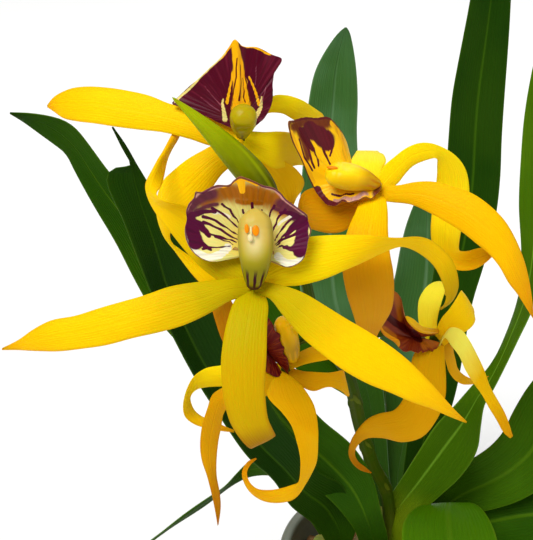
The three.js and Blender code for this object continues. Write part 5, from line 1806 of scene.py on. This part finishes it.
RIGHT_FLOWER = Flower(
    name="right_flower", place=(-30.6, -126.2, 328.4), rise=(-0.95, 0.1, -0.2), face=(0, 0.8, 0.6),
    lip=Lip(
        rim=table("""
    8 0 20, -28 -5 -5, -27 13 -6, -16 20 0, -10 23 -2, -6 23 -4, 7 27 -12, 12 29 -16, 13 25 12,
    16 24 35, 10 31 67, 10 30 60, 10 6 21, 30 -10 4, 26 -22 -2, 26 -32 -10, 16 -29 -15, 11 -22 -26,
    13 -15 -39, 6 -11 -47, -9 -5 -30, -21 -31 -5, -36 -36 7, -30 -24 4
        """),
        centre=(0, 65, 21), power=2.2, finish=SIDE_SHELL, midrib=0.8, rows=240, columns=84,
        strokes={
            "brown": """
    30 35, 7 234 155, 19 -5 4, 16 -10 4, 14 -15 -6, 12 -14 -4, 11 -15 -6, 8 -16 -6;
    24 16, 19 228 152, -7 -10 -20, -6 -8 -15, -8 -7 -15, -8 -9 -17;
    13 16, 22 26 17, -18 -17 3, -12 -8 -2, -17 3 -3, -16 3 -4
            """,
            # Dark maroon markings; the last stroke is painted shadow in the gap between the near
            # lobe and the column.
            "dark": """
    43 54, 50 198 141, 3 -9 -11, 5 -12 -8, 1 -8 -10, 2 -11 -10;
    30 24, 32 212 139, -4 -5 -13, -6 -3 -9, -1 -6 -9, -3 -7 -10;
    13 13, 28 221 149, -7 -4 -14, -7 -6 -12, -3 -5 -9, -3 -7 -11;
    8 5, 11 202 109, -8 -6 -12, -7 -6 -12, -7 -7 -14, -4 -8 -11;
    8 5, 24 186 95, -5 -4 -7, -8 -4 -9, -10 -8 -12, -8 -4 -8;
    9 6, 49 169 101, -4 -4 -10, -8 -7 -13, -7 -9 -14, -8 -10 -14;
    8 5, 72 149 106, -4 -5 -10, -6 -4 -11, -9 2 -9, -12 2 -8;
    4 4, -1 219 126, -7 -7 -18, -7 -9 -18, -2 -12 -16, -2 -11 -18;
    4 6, -9 242 155, -6 -8 -21, -3 -9 -18, -2 -12 -21, -3 -10 -21, -2 -9 -22, -3 -10 -21,
    -6 -11 -20, -11 -18 -22;
    19 8, -34 165 10, -7 -9 -14, -7 -11 -10, -7 -14 -5, -9 -17 4, -9 -15 8, -5 -18 8;
    6 6, -41 122 -2, -6 -16 1, -8 -15 7, -2 -17 6, 3 -11 2
            """,
            "gold": """
    19 22, 96 145 134, 2 -10 -14, 1 -8 -14, -2 -7 -15, -9 -7 -17, -13 -3 -10, -15 -3 -11;
    11 11, -8 238 149, -5 -9 -20, -5 -10 -20, -2 -9 -18, -2 -13 -22, -1 -11 -20, -4 -10 -22
            """,
            "rim": """
    8 16, -56 114 -10, -9 -16 7, -4 -16 8, -2 -14 3, 2 -12 0, 8 -11 3, 13 -12 3
            """,
            "pale": """16 13, -33 45 18, 6 -4 1, 6 -9 0, -1 -5 -1, -2 -8 -1""",
        },
    ),
    column=Column(
        table("-0.3 0.7 1.6, -1.9 1.9 2.9, -3 5 4.6, -3.8 8.6 5.6, -4.1 11.8 6.2, -4 14.2 6.4"),
        marks=table("-5.4 12.0 8.9 0.6 1.5 1"),
        wide=(1.0, 1.8, 2.7, 3.5, 4.0, 4.2, 3.8, 2.9),
        deep=(1.4, 2.3, 2.9, 3.2, 3.3, 3.1, 2.7, 2.0),
        finish=ColumnFinish(
            "column_gold", olive=tint(206, 156, 0), body=tint(250, 204, 4),
            cream=tint(252, 210, 10), stripe=tint(200, 130, 0), white=tint(254, 224, 50),
        ),
    ),
    stalk=((-52.2, -114.5, 311), (-45, -108, 318), (-35, -113, 325)),
    tepals={
        "upper_petal": Tepal(table("""
    -20 19 13 30 1 2 3, -29 17 19 57 4 8 5, -22 30 17 92 3 6 8, 4 46 5 89 1 1 8, 13 53 -4 72 0 0 6,
    13 60 -14 57 0 -1 5, 11 55 -23 47 0 0 4, 11 42 -29 35 0 0 3, 16 38 -38 13 0 0 0
        """), finish=SUNLIT),
        "arching_sepal": Tepal(table("""
    -4 24 25 22 -15 -34 3, 17 21 27 38 -19 -42 6, 26 19 16 30 -19 -42 6, 36 20 21 19 -20 -44 6,
    44 21 9 10 -20 -44 5, 50 22 -13 -7 -25 -30 4, 50 18 -31 -51 -32 -22 4, 37 12 -46 -84 -37 -10 6,
    14 -2 -53 -98 -29 8 7, 0 -10 -47 -102 -26 16 7, -11 -21 -44 -98 -23 21 7,
    -13 -30 -43 -88 -25 17 7, -5 -23 -27 -76 -29 9 5, 7 -21 3 -58 -37 -21 4,
    13 -18 9 -33 -44 -37 4, 13 -24 18 -11 -38 -45 3, 16 -27 15 -2 -27 -36 2, 13 -26 2 1 -12 -13 0
        """), finish=SUNNY),
        "long_petal": Tepal(table("""
    -15 19 10 -5 -18 -39 3, 59 -29 6 -11 -18 -41 6, 45 -15 14 -13 -24 -53 8,
    47 -19 8 -19 -31 -70 10, 46 -21 -5 -23 -36 -81 10, 45 -19 -11 -29 -40 -89 10,
    44 -23 -26 -33 -40 -90 10, 38 -20 -33 -39 -36 -79 10, 29 -13 -41 -40 -32 -70 9,
    25 -8 -53 -39 -27 -60 8, 18 -5 -59 -27 -18 -39 5, 16 -6 -61 -16 -8 -18 3, 11 0 -50 -3 -2 -4 0
        """), finish=RIPE),
        "lower_sepal": Tepal(table("""
    -28 5 -8 40 -3 -7 4, -25 -36 -11 68 -1 -2 7, -18 -38 -23 87 -2 -5 10, -19 -35 -29 104 -3 -7 12,
    -15 -30 -41 121 -4 -10 12, -1 -12 -52 133 -4 -7 12, 12 4 -63 128 1 3 11, 20 27 -74 110 5 11 10,
    21 42 -75 77 6 12 7, 26 46 -69 34 3 8 3, 20 43 -50 6 0 1 0
        """), finish=SHADED_BELOW_FOOT),
        "near_sepal": Tepal(table("""
    -30 20 7 27 -15 -35 3, -42 8 -18 21 -27 -59 9, -46 10 0 28 -46 -102 13,
    -42 22 -2 27 -53 -115 15, -35 23 -21 23 -44 -98 14, -18 28 -36 20 -28 -62 9,
    0 26 -38 13 -11 -26 4, 17 30 -32 6 -5 -11 2, 25 23 -22 3 -3 -5 0
        """), finish=ORANGE),
    },
)

LOW_FLOWER = Flower(
    name="low_flower", place=(-55.5, -118.7, 267.7), rise=(-0.55, 0.83, 0), face=(0.77, 0.51, 0.4),
    lip=Lip(
        rim=table("""
    -1 -9 11, -27 28 26, -14 37 17, -9 46 18, -7 44 8, -3 39 -6, -3 16 -20, -3 -12 -32, 7 -45 -35,
    7 -55 -20, 7 -51 3, 16 -34 11, 23 -13 16
        """),
        centre=(1, 91, -9), power=1.5, finish=DARK_MAROON, rows=200, columns=56,
    ),
    column=Column(
        table("""
    0.2 1.7 3.9, -0.3 3.9 5.5, -0.4 6.2 6.6, -0.5 9.2 7.6, -0.3 12.5 8.4, 0.1 14.9 8.8
        """),
        wide=(1.8, 2.9, 3.6, 4.0, 4.1, 4.0, 3.7, 2.9),
        deep=(1.5, 2.2, 2.6, 2.8, 2.9, 2.8, 2.5, 2.0),
        finish=ColumnFinish(
            "column_low", olive=tint(176, 134, 0), body=tint(214, 164, 0), cream=tint(250, 192, 0),
            stripe=tint(200, 150, 0), white=tint(244, 190, 0),
        ),
    ),
    stalk=((-45.6, -98.4, 269.5), (-51, -101, 268), (-54.5, -111, 267)),
    tepals={
        "curled_sepal": Tepal(table("""
    -26 9 6 48 -9 -20 4, -30 -36 -17 113 -11 -24 9, 5 -34 -38 137 -10 -22 11,
    36 -20 -33 110 -13 -27 10, 28 -24 -28 84 -17 -36 9, 20 -22 -47 65 11 -49 5,
    11 -15 -46 51 20 -39 3, 0 -14 -43 37 29 -32 2, -5 -6 -36 22 22 -25 2, -18 1 -11 12 5 -48 2,
    -33 0 -13 1 3 -52 3, -39 2 -7 -15 3 -42 2, -35 6 3 -19 7 -22 2, -21 17 13 -17 7 -9 1,
    -7 19 17 -15 6 0 0, 12 19 17 -9 4 8 0, 18 15 8 -4 2 3 0
        """), finish=WARM),
        "hooked_petal": Tepal(table("""
    -11 14 17 -3 -18 -39 3, -57 -10 29 -6 -28 -62 7, -63 -13 1 6 -30 -68 8,
    -59 -13 -11 -1 -8 -66 6, -50 -6 -9 3 9 -69 4, -36 -10 -25 8 28 -60 3, -18 -11 -38 9 45 -44 2,
    -8 -5 -46 14 52 -19 2, 5 -2 -40 21 51 -8 2, 29 3 -31 16 41 6 2, 36 4 -15 4 37 10 2,
    39 5 -12 2 20 8 1, 39 8 -11 0 3 7 0
        """), finish=SUNNY),
        "hanging_petal": Tepal(table("""
    -20 6 4 30 -11 -25 2, -48 -35 6 12 -27 -59 6, -56 -26 2 15 -29 -64 8, -50 -23 -13 33 -23 -51 8,
    -38 -12 -20 44 -5 -42 6, -17 -16 -42 47 20 -29 6, -16 -12 -51 56 33 -25 6,
    -6 -12 -51 51 33 -19 5, 4 -12 -49 41 27 -14 4, 14 -8 -50 28 19 -11 3, 14 -14 -59 24 15 -4 2,
    10 -11 -54 16 10 3 1, 7 -10 -48 3 2 5 0
        """), finish=AMBER),
        "far_sepal": Tepal(table("""
    1 33 20 15 -27 -16 2, 40 23 14 14 -40 -18 3, 47 37 2 25 -53 -19 4, 57 31 -5 34 -55 -23 5,
    53 33 -18 26 -56 -32 5, 43 25 -22 15 -51 -40 4, 45 28 -37 -4 -41 -40 3,
    35 26 -46 -15 -29 -32 2, 36 45 -110 -6 -2 -5 0
        """), finish=WARM),
        "right_petal": Tepal(table("""
    16 17 8 -15 -24 -28 2, 33 -2 -12 -4 -41 -29 4, 36 -2 -4 -1 -50 -36 5, 37 12 -9 7 -48 -21 5,
    33 28 -12 12 -59 -32 4, 24 36 -17 15 -67 -51 3, 11 45 -46 13 -51 -39 2, 9 58 -65 5 -31 -19 1,
    7 69 -65 4 -3 -7 0
        """), finish=SHADED_GOLD),
    },
)

FAR_FLOWER = Flower(
    name="far_flower", place=(-3, -79.8, 256.7), rise=(-0.65, -0.05, 0.75), face=(0.1, 0.98, 0.15),
    lip=Lip(
        rim=table("""
    3 -4 27, 7 56 17, 8 45 7, 13 34 21, 16 17 15, 10 8 36, 8 12 37, 10 19 14, -1 31 -26, -9 28 -43,
    1 20 -34, -10 -15 -33, -12 -45 -25, -11 -43 -26, -16 -51 -13, -17 -54 1, -6 -46 4, -2 -18 19
        """),
        centre=(49, 72, 14), power=1.5, finish=MAROON, rows=200, columns=56,
        strokes={
            "brown": """
    30 27, 74 184 173, -1 -8 -23, -2 -9 -20, -2 -8 -22, -3 -9 -22;
    30 33, 14 57 -8, 2 -16 4, -4 -13 1, -5 -11 2, -6 -10 1;
    17 17, 63 248 57, -1 -17 -6, -3 -17 -9, -2 -15 -8, -3 -14 -7
            """,
            "gold": """20 23, 62 263 56, -5 -14 -16, -5 -23 -13, -6 -20 -11, -4 -24 -9""",
            "dark": """
    23 30, 64 225 93, -2 -30 -16, -1 -31 -14, -2 -30 -14, -14 -21 -6, -8 -17 -11, -2 -30 -23
            """,
        },
    ),
    column=Column(
        table("-0.3 0.9 4, -0.8 7.6 4.8, -0.1 12.6 6, 0.8 16.2 8.2, 2.2 18.4 10.1"),
        wide=(0.8, 1.0, 1.1, 1.2, 1.2, 1.2, 1.1, 0.8),
        deep=(0.8, 0.9, 1.0, 1.1, 1.1, 1.1, 1.0, 0.7),
        finish=ColumnFinish(
            "column_far", olive=tint(206, 140, 0), body=tint(230, 176, 0), cream=tint(240, 190, 4),
            stripe=tint(190, 120, 0), white=tint(246, 200, 10),
        ),
    ),
    stalk=((-32.4, -73, 245.5), (-22, -66, 252), (-9, -69, 256)),
    tepals={
        "upper_petal": Tepal(table("""
    -32 14 -3 48 2 3 3, -21 33 33 58 1 3 6, -5 33 36 70 0 0 7, 4 32 35 78 -3 -7 7,
    24 43 21 73 -2 -5 6, 34 45 4 48 -2 -5 4, 30 49 -13 29 -4 -10 2, 25 50 -36 18 -7 -16 1,
    18 39 -59 9 -3 -7 0
        """), finish=SUNLIT),
        "right_sepal": Tepal(table("""
    -9 20 20 34 -17 -37 3, 23 15 51 54 -25 -55 7, 29 25 23 65 -29 -64 9, 33 55 13 65 -32 -69 8,
    27 65 -1 49 -32 -70 6, 20 54 -28 31 -22 -47 3, 20 44 -47 14 -9 -20 1, 15 40 -57 6 -1 -3 0
        """), finish=GOLD),
        "long_petal": Tepal(table("""
    21 12 17 -17 -17 -37 2, 25 -13 40 -22 -15 -32 3, 27 -22 2 -34 -21 -48 6,
    24 -22 -25 -33 -22 -48 7, 24 -17 -38 -35 -25 -55 8, 23 -16 -48 -31 -23 -49 7,
    24 -13 -58 -23 -15 -34 6, 33 -12 -56 -30 -11 -24 4, 27 -9 -49 -29 -9 -19 3,
    19 -12 -45 -21 -8 -18 2, 11 -8 -31 -10 -4 -7 0
        """), finish=HIGHLIGHT_FOOT),
        "lower_sepal": Tepal(table("""
    -23 6 -7 48 -4 -9 3, -55 -39 -13 101 -14 -31 8, -19 -34 -50 122 -17 -37 9,
    -10 -23 -56 127 -16 -34 9, -15 -10 -46 118 -25 -55 8, -29 -5 -34 100 -29 -89 7,
    -43 5 -14 81 -24 -101 6, -40 0 -23 55 4 -78 4, -36 -8 -42 34 18 -45 3, -24 -13 -41 27 19 -30 2,
    -5 -13 -41 25 19 -13 1, 16 -9 -31 20 16 -2 1, 28 -5 -23 15 14 5 0, 34 3 -14 4 3 1 0
        """), finish=AMBER),
        "shaded_petal": Tepal(table("""
    -7 9 -29 32 11 25 2, 34 9 -27 31 12 25 3, 16 14 -44 29 10 22 4, 15 8 -41 26 10 21 4,
    24 11 -36 23 10 22 3, 34 13 -28 18 10 23 3, 38 23 -14 10 8 17 2, 38 30 -6 7 6 11 1,
    32 33 -1 2 2 4 0
        """), finish=SHADED_GOLD),
    },
)

BLUISH = LeafFinish(
    "leaf_bluish", blade=tint(54, 92, 38), light=tint(80, 118, 78), foot=tint(42, 76, 0),
    midrib=tint(118, 150, 112), midrib_strength=0.3, foot_reach=0.5)
FRESH = LeafFinish(
    "leaf_fresh", blade=tint(82, 138, 0), light=tint(108, 162, 4), midrib=tint(130, 170, 30),
    midrib_strength=0.3)
BRIGHT_LEAF = LeafFinish(
    "leaf_bright", blade=tint(60, 96, 0), light=tint(78, 114, 2), foot=tint(104, 122, 4),
    midrib=tint(104, 146, 34), midrib_strength=0.9, foot_reach=0.16)
MID_LEAF = LeafFinish("leaf_mid", blade=tint(50, 88, 0), light=tint(68, 106, 2))
DARK_LEAF = LeafFinish(
    "leaf_dark", blade=tint(22, 54, 0), light=tint(38, 68, 0), midrib=tint(60, 96, 6))

LEAVES: dict[str, Leaf] = {
    "left_long": Leaf(table("""
    -130 -100 1080 70 -10 20 -3, -39 -19 47 114 -26 51 -10, -43 -19 114 117 -7 106 -20,
    -87 -22 145 164 42 116 -30, -147 -20 173 215 54 119 -35, -140 -26 159 209 38 132 -35,
    -106 -20 150 205 16 156 -35, -101 -21 184 181 26 164 -35, -133 -23 177 195 23 173 -35,
    -110 -25 162 203 23 172 -30, -76 -12 167 173 14 153 -30, -71 -15 185 140 7 111 -25,
    -71 -8 152 122 -5 60 -20, -57 3 127 118 -22 23 -15, -24 -13 67 91 -15 40 -12,
    -39 -23 46 88 -6 60 -10, -44 -22 47 89 -1 47 -8, -42 -28 48 55 0 25 -4, -27 -44 37 0 3 6 0
    """)),
    "left_keeled": Leaf(table("""
    -340 -70 1060 80 -10 10 -3, 6 -29 50 119 -6 35 -20, -62 -72 180 136 33 170 -40 42,
    -115 -125 207 126 50 135 -50 45, -75 -103 209 120 97 93 -55 35, -94 -70 159 129 123 91 -70 32,
    -102 -37 209 154 117 64 -75 30, -102 -51 226 173 115 60 -80 24, -75 -34 191 166 113 66 -80 27,
    -58 -32 169 157 109 47 -70 32, -47 -2 166 137 75 44 -40 45, -46 20 140 120 45 27 -25 58,
    -31 14 67 128 32 21 -18 68, -13 20 61 124 10 -7 -12 75, 24 7 20 94 4 -16 -9 75,
    31 -3 -1 60 6 -10 -6 65, 29 -2 -2 24 10 4 -3 40, -26 19 59 16 8 7 -2 40, -36 26 69 5 1 4 0
    """), finish=DARK_LEAF),
    "back_centre": Leaf(table("""
    -80 170 1080 70 10 0 -3, -30 1 44 108 12 27 -10, -15 55 132 112 16 35 -20,
    -20 54 131 122 18 40 -25, -18 44 121 131 22 49 -30, -42 54 142 154 11 50 -35,
    -79 47 140 207 11 60 -40, -83 30 126 258 14 80 -40, -66 40 147 301 -1 59 -40,
    -22 46 163 307 -2 43 -40, -3 51 159 296 -7 34 -40, 6 55 157 280 -8 18 -40,
    12 59 153 260 -11 14 -35, 14 63 152 241 -9 3 -30, 16 54 130 230 -2 -5 -25,
    33 61 132 190 -2 -4 -18, 42 34 75 137 -1 -2 -12, 43 26 58 82 -2 -4 -6, 32 11 35 38 0 0 -2,
    19 5 12 9 -1 -1 0
    """), finish=BLUISH),
    "tall": Leaf(table("""
    -40 -60 1100 60 -10 0 -3, 39 14 54 69 -12 -2 -10, 11 40 148 95 -24 -5 -20,
    17 55 156 121 -27 3 -30, 20 60 180 156 -35 -4 -35, 24 55 181 181 -40 -3 -40,
    24 58 176 189 -41 7 -40, 33 63 198 191 -40 10 -40, 27 56 184 213 -44 0 -40,
    20 52 188 235 -37 14 -40, 15 46 173 232 -38 -1 -40, 6 50 169 228 -34 -3 -35,
    11 49 168 225 -25 6 -35, 27 43 167 206 -20 4 -30, 31 43 177 180 -16 3 -25,
    27 39 171 152 -10 1 -15, 47 38 180 93 -5 1 -7, 62 25 115 17 -2 -4 0
    """), finish=DARK_LEAF),
    "back_right": Leaf(table("""
    -30 190 1090 80 -5 0 -3, -4 11 52 108 -6 -13 -10, 4 94 110 139 -6 -13 -20,
    16 125 152 193 -17 -12 -30, -4 125 156 279 -25 -8 -40, -20 123 161 362 -21 1 -40,
    40 116 169 360 -18 9 -40, 49 97 153 315 -18 8 -40, 33 78 135 266 -10 15 -30,
    43 69 127 189 -5 13 -20, 41 39 85 108 -3 7 -10, 41 21 47 26 0 0 0
    """), finish=BLUISH),
    "right_narrow": Leaf(table("""
    -40 -95 1080 50 -15 0 -3, -7 -2 58 60 -32 3 -10, -31 22 97 95 -59 -9 -15 35,
    22 -1 120 141 -73 -16 -30 38, 57 1 121 171 -75 -32 -30 37, 66 15 130 183 -86 -67 -40 37,
    78 20 140 168 -87 -83 -40 42, 70 6 85 104 -88 -47 -40, 64 22 73 48 -113 -6 -30 60,
    55 17 61 18 -150 10 -20 60, 53 21 83 12 -171 59 -15 55, 42 23 111 11 -191 74 -10,
    32 19 112 13 -202 65 -10, 16 13 127 29 -180 62 -10, -8 22 144 69 -154 61 -15,
    -17 42 165 112 -132 59 -20, 2 59 178 117 -121 48 -20, 5 44 168 116 -94 35 -15,
    17 36 151 107 -68 20 -10, 26 33 133 86 -40 8 -5, 41 32 107 51 -19 7 -2, 40 12 62 8 0 0 0
    """), finish=BRIGHT_LEAF),
    "right_low": Leaf(table("""
    151 116 1125 72 -44 -25 -10, 32 -13 139 137 -84 -63 -20, 68 -18 129 174 -123 -124 -30,
    74 -20 76 203 -144 -123 -35, 95 3 81 213 -160 -111 -40, 51 8 66 238 -161 -89 -40,
    50 27 107 237 -165 -73 -40, 42 20 78 226 -161 -62 -40, 99 29 150 209 -144 -64 -35,
    107 37 200 180 -125 -69 -30, 88 16 204 158 -96 -65 -20, 103 -10 171 92 -49 -35 -10,
    136 -9 126 13 -4 -9 0
    """), finish=MID_LEAF),
    "front_arching": Leaf(table("""
    210 30 1100 60 0 0 -3, 0 -42 56 66 2 4 10, -35 -28 109 125 2 4 20, -41 -51 79 173 1 2 30,
    -67 -69 42 273 -3 -6 40, -50 -70 16 343 -5 -12 45, -36 -78 -2 394 -7 -16 45,
    -14 -84 -17 413 -7 -16 45, -8 -108 -20 417 -4 -8 40, -8 -119 -43 416 -3 -7 40,
    6 -107 -67 389 -5 -11 35, 31 -108 -93 324 -4 -7 25, 69 -87 -94 203 -2 -3 10,
    92 -74 -89 19 0 0 0
    """), finish=FRESH),
    "left_drooping": Leaf(table("""
    -340 0 1060 15 0 -10 -3, -35 22 51 24 -8 -18 -3, -95 49 131 39 11 -49 -5,
    -85 63 115 39 12 -84 -7, -72 35 27 34 7 -80 -8, -67 11 1 9 2 -92 -8, -57 -25 -43 8 17 -71 -5,
    -57 -35 -52 3 37 -52 -3, -94 -38 -59 3 39 -48 -2, -109 -40 -65 3 31 -40 -2,
    -116 -52 -65 1 23 -34 -1, -125 -61 -73 4 5 -13 0
    """), thickness=0.8),
    "right_spreading": Leaf(table("""
    285 88 1135 3 -96 -65 -6, 68 10 69 2 -197 -117 -20, 106 -9 77 -2 -255 -149 -30,
    120 -27 61 -8 -278 -151 -35, 133 -50 36 -32 -272 -138 -35, 138 -64 4 -56 -244 -112 -30,
    124 -83 -26 -65 -186 -82 -20, 83 -93 -48 -45 -108 -54 -10, 54 -84 -74 -11 -19 -6 0
    """)),
    "back_left": Leaf(table("""
    -89 216 1089 79 12 27 -10, -16 71 169 84 17 36 -20, -25 78 183 99 20 44 -25,
    -55 48 130 153 35 76 -30, -114 24 77 186 61 157 -30, -133 -1 69 204 80 200 -30,
    -113 14 115 184 83 207 -25, -87 18 137 192 81 201 -20, -66 14 127 143 42 117 -10,
    -38 12 74 5 2 4 0
    """)),
}

BULBS = (
    Pseudobulb("front", -4, -8, 30, 12, seed=11),
    Pseudobulb("back", -4, 17, 28, 12, seed=12),
    Pseudobulb("right", 24, 6, 29, 12, seed=13),
    Pseudobulb("left", -32, -2, 25, 12, seed=14),
    Pseudobulb(
        "old", 20, 32, 22, 11, seed=15,
        finish=BulbFinish("pseudobulb_old", skin=tint(128, 128, 46)),
    ),
)


# ---- studio


@dataclass
class Studio:
    """A plain pale floor, soft lights and the camera. Its lengths are in metres."""

    camera_place: Point = (-0.061, -0.379, 0.420)
    focal_length: float = 66.67
    floor_size: float = 14.0
    surround: float = 0.3
    sun_strength: float = 3.0
    sun_softness: float = 0.6
    sun_from: Point = (-0.35, -0.45, 0.82)
    lit_place: Point = (-0.04, -0.08, 0.25)

    def build(self) -> None:
        """Builds the camera, the lights and the floor."""
        self.add_camera()
        self.add_floor()
        self.add_sun()
        self.add_light("fill", (1.4, -0.9, 0.9), 1.4, 5)
        self.add_light("back", (0.3, 1.6, 1.6), 1.6, 7)
        world = bpy.data.worlds.new("studio")
        world.use_nodes = True
        background = world.node_tree.nodes["Background"]
        background.inputs["Color"].default_value = (1, 1, 1, 1)
        background.inputs["Strength"].default_value = self.surround
        bpy.context.scene.world = world
        bpy.context.scene.view_settings.view_transform = "Standard"

    def add_camera(self) -> None:
        """Adds the camera at the photograph's viewing angle."""
        lens = bpy.data.cameras.new("camera")
        lens.lens = self.focal_length
        lens.sensor_width = 36
        lens.clip_start, lens.clip_end = 0.01, 60
        camera = add_to_scene("camera", lens)
        camera.location = self.camera_place
        camera.rotation_euler = (LEAN, 0, 0)
        bpy.context.scene.camera = camera

    def add_floor(self) -> None:
        """Adds the floor, which isn't part of the object."""
        half, steps = self.floor_size / 2, 8
        side = np.linspace(-half, half, steps)
        points = [(x, y, 0.0) for y in side for x in side]
        corners = [row * steps + column for row in range(steps - 1) for column in range(steps - 1)]
        faces = [(k, k + 1, k + steps + 1, k + steps) for k in corners]
        mesh = bpy.data.meshes.new("floor")
        mesh.from_pydata(points, [], faces)
        mesh.materials.append(FloorFinish("floor_pale").material())
        floor = add_to_scene("floor", mesh)

    def add_sun(self) -> None:
        """Adds the wide, soft main light."""
        light = bpy.data.lights.new("sun", "SUN")
        light.energy, light.angle = self.sun_strength, self.sun_softness
        lamp = add_to_scene("sun", light)
        lamp.rotation_euler = (-Vector(self.sun_from)).to_track_quat("-Z", "Y").to_euler()

    def add_light(self, name: str, place: Point, size: float, power: float) -> None:
        """Adds a square soft light that looks at the flowers.

        Args:
            name: The light's name.
            place: Where it hangs.
            size: The length of its side.
            power: Its power in watts.
        """
        light = bpy.data.lights.new(name, "AREA")
        light.size, light.energy = size, power
        lamp = add_to_scene(name, light)
        lamp.location = place
        aim = Vector(self.lit_place) - Vector(place)
        lamp.rotation_euler = aim.to_track_quat("-Z", "Y").to_euler()


def main() -> None:
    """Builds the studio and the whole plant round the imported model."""
    logging.basicConfig(level=logging.INFO, format="%(message)s")
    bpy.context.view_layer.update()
    Studio().build()
    Pot().build()
    PottingMix().build()
    for bulb in BULBS:
        bulb.build()
    for name, leaf in LEAVES.items():
        leaf.build(name)
    Spike().build()
    for flower in (FRONT_FLOWER, TOP_FLOWER, RIGHT_FLOWER, LOW_FLOWER, FAR_FLOWER):
        flower.build()


if __name__ == "__main__":
    main()
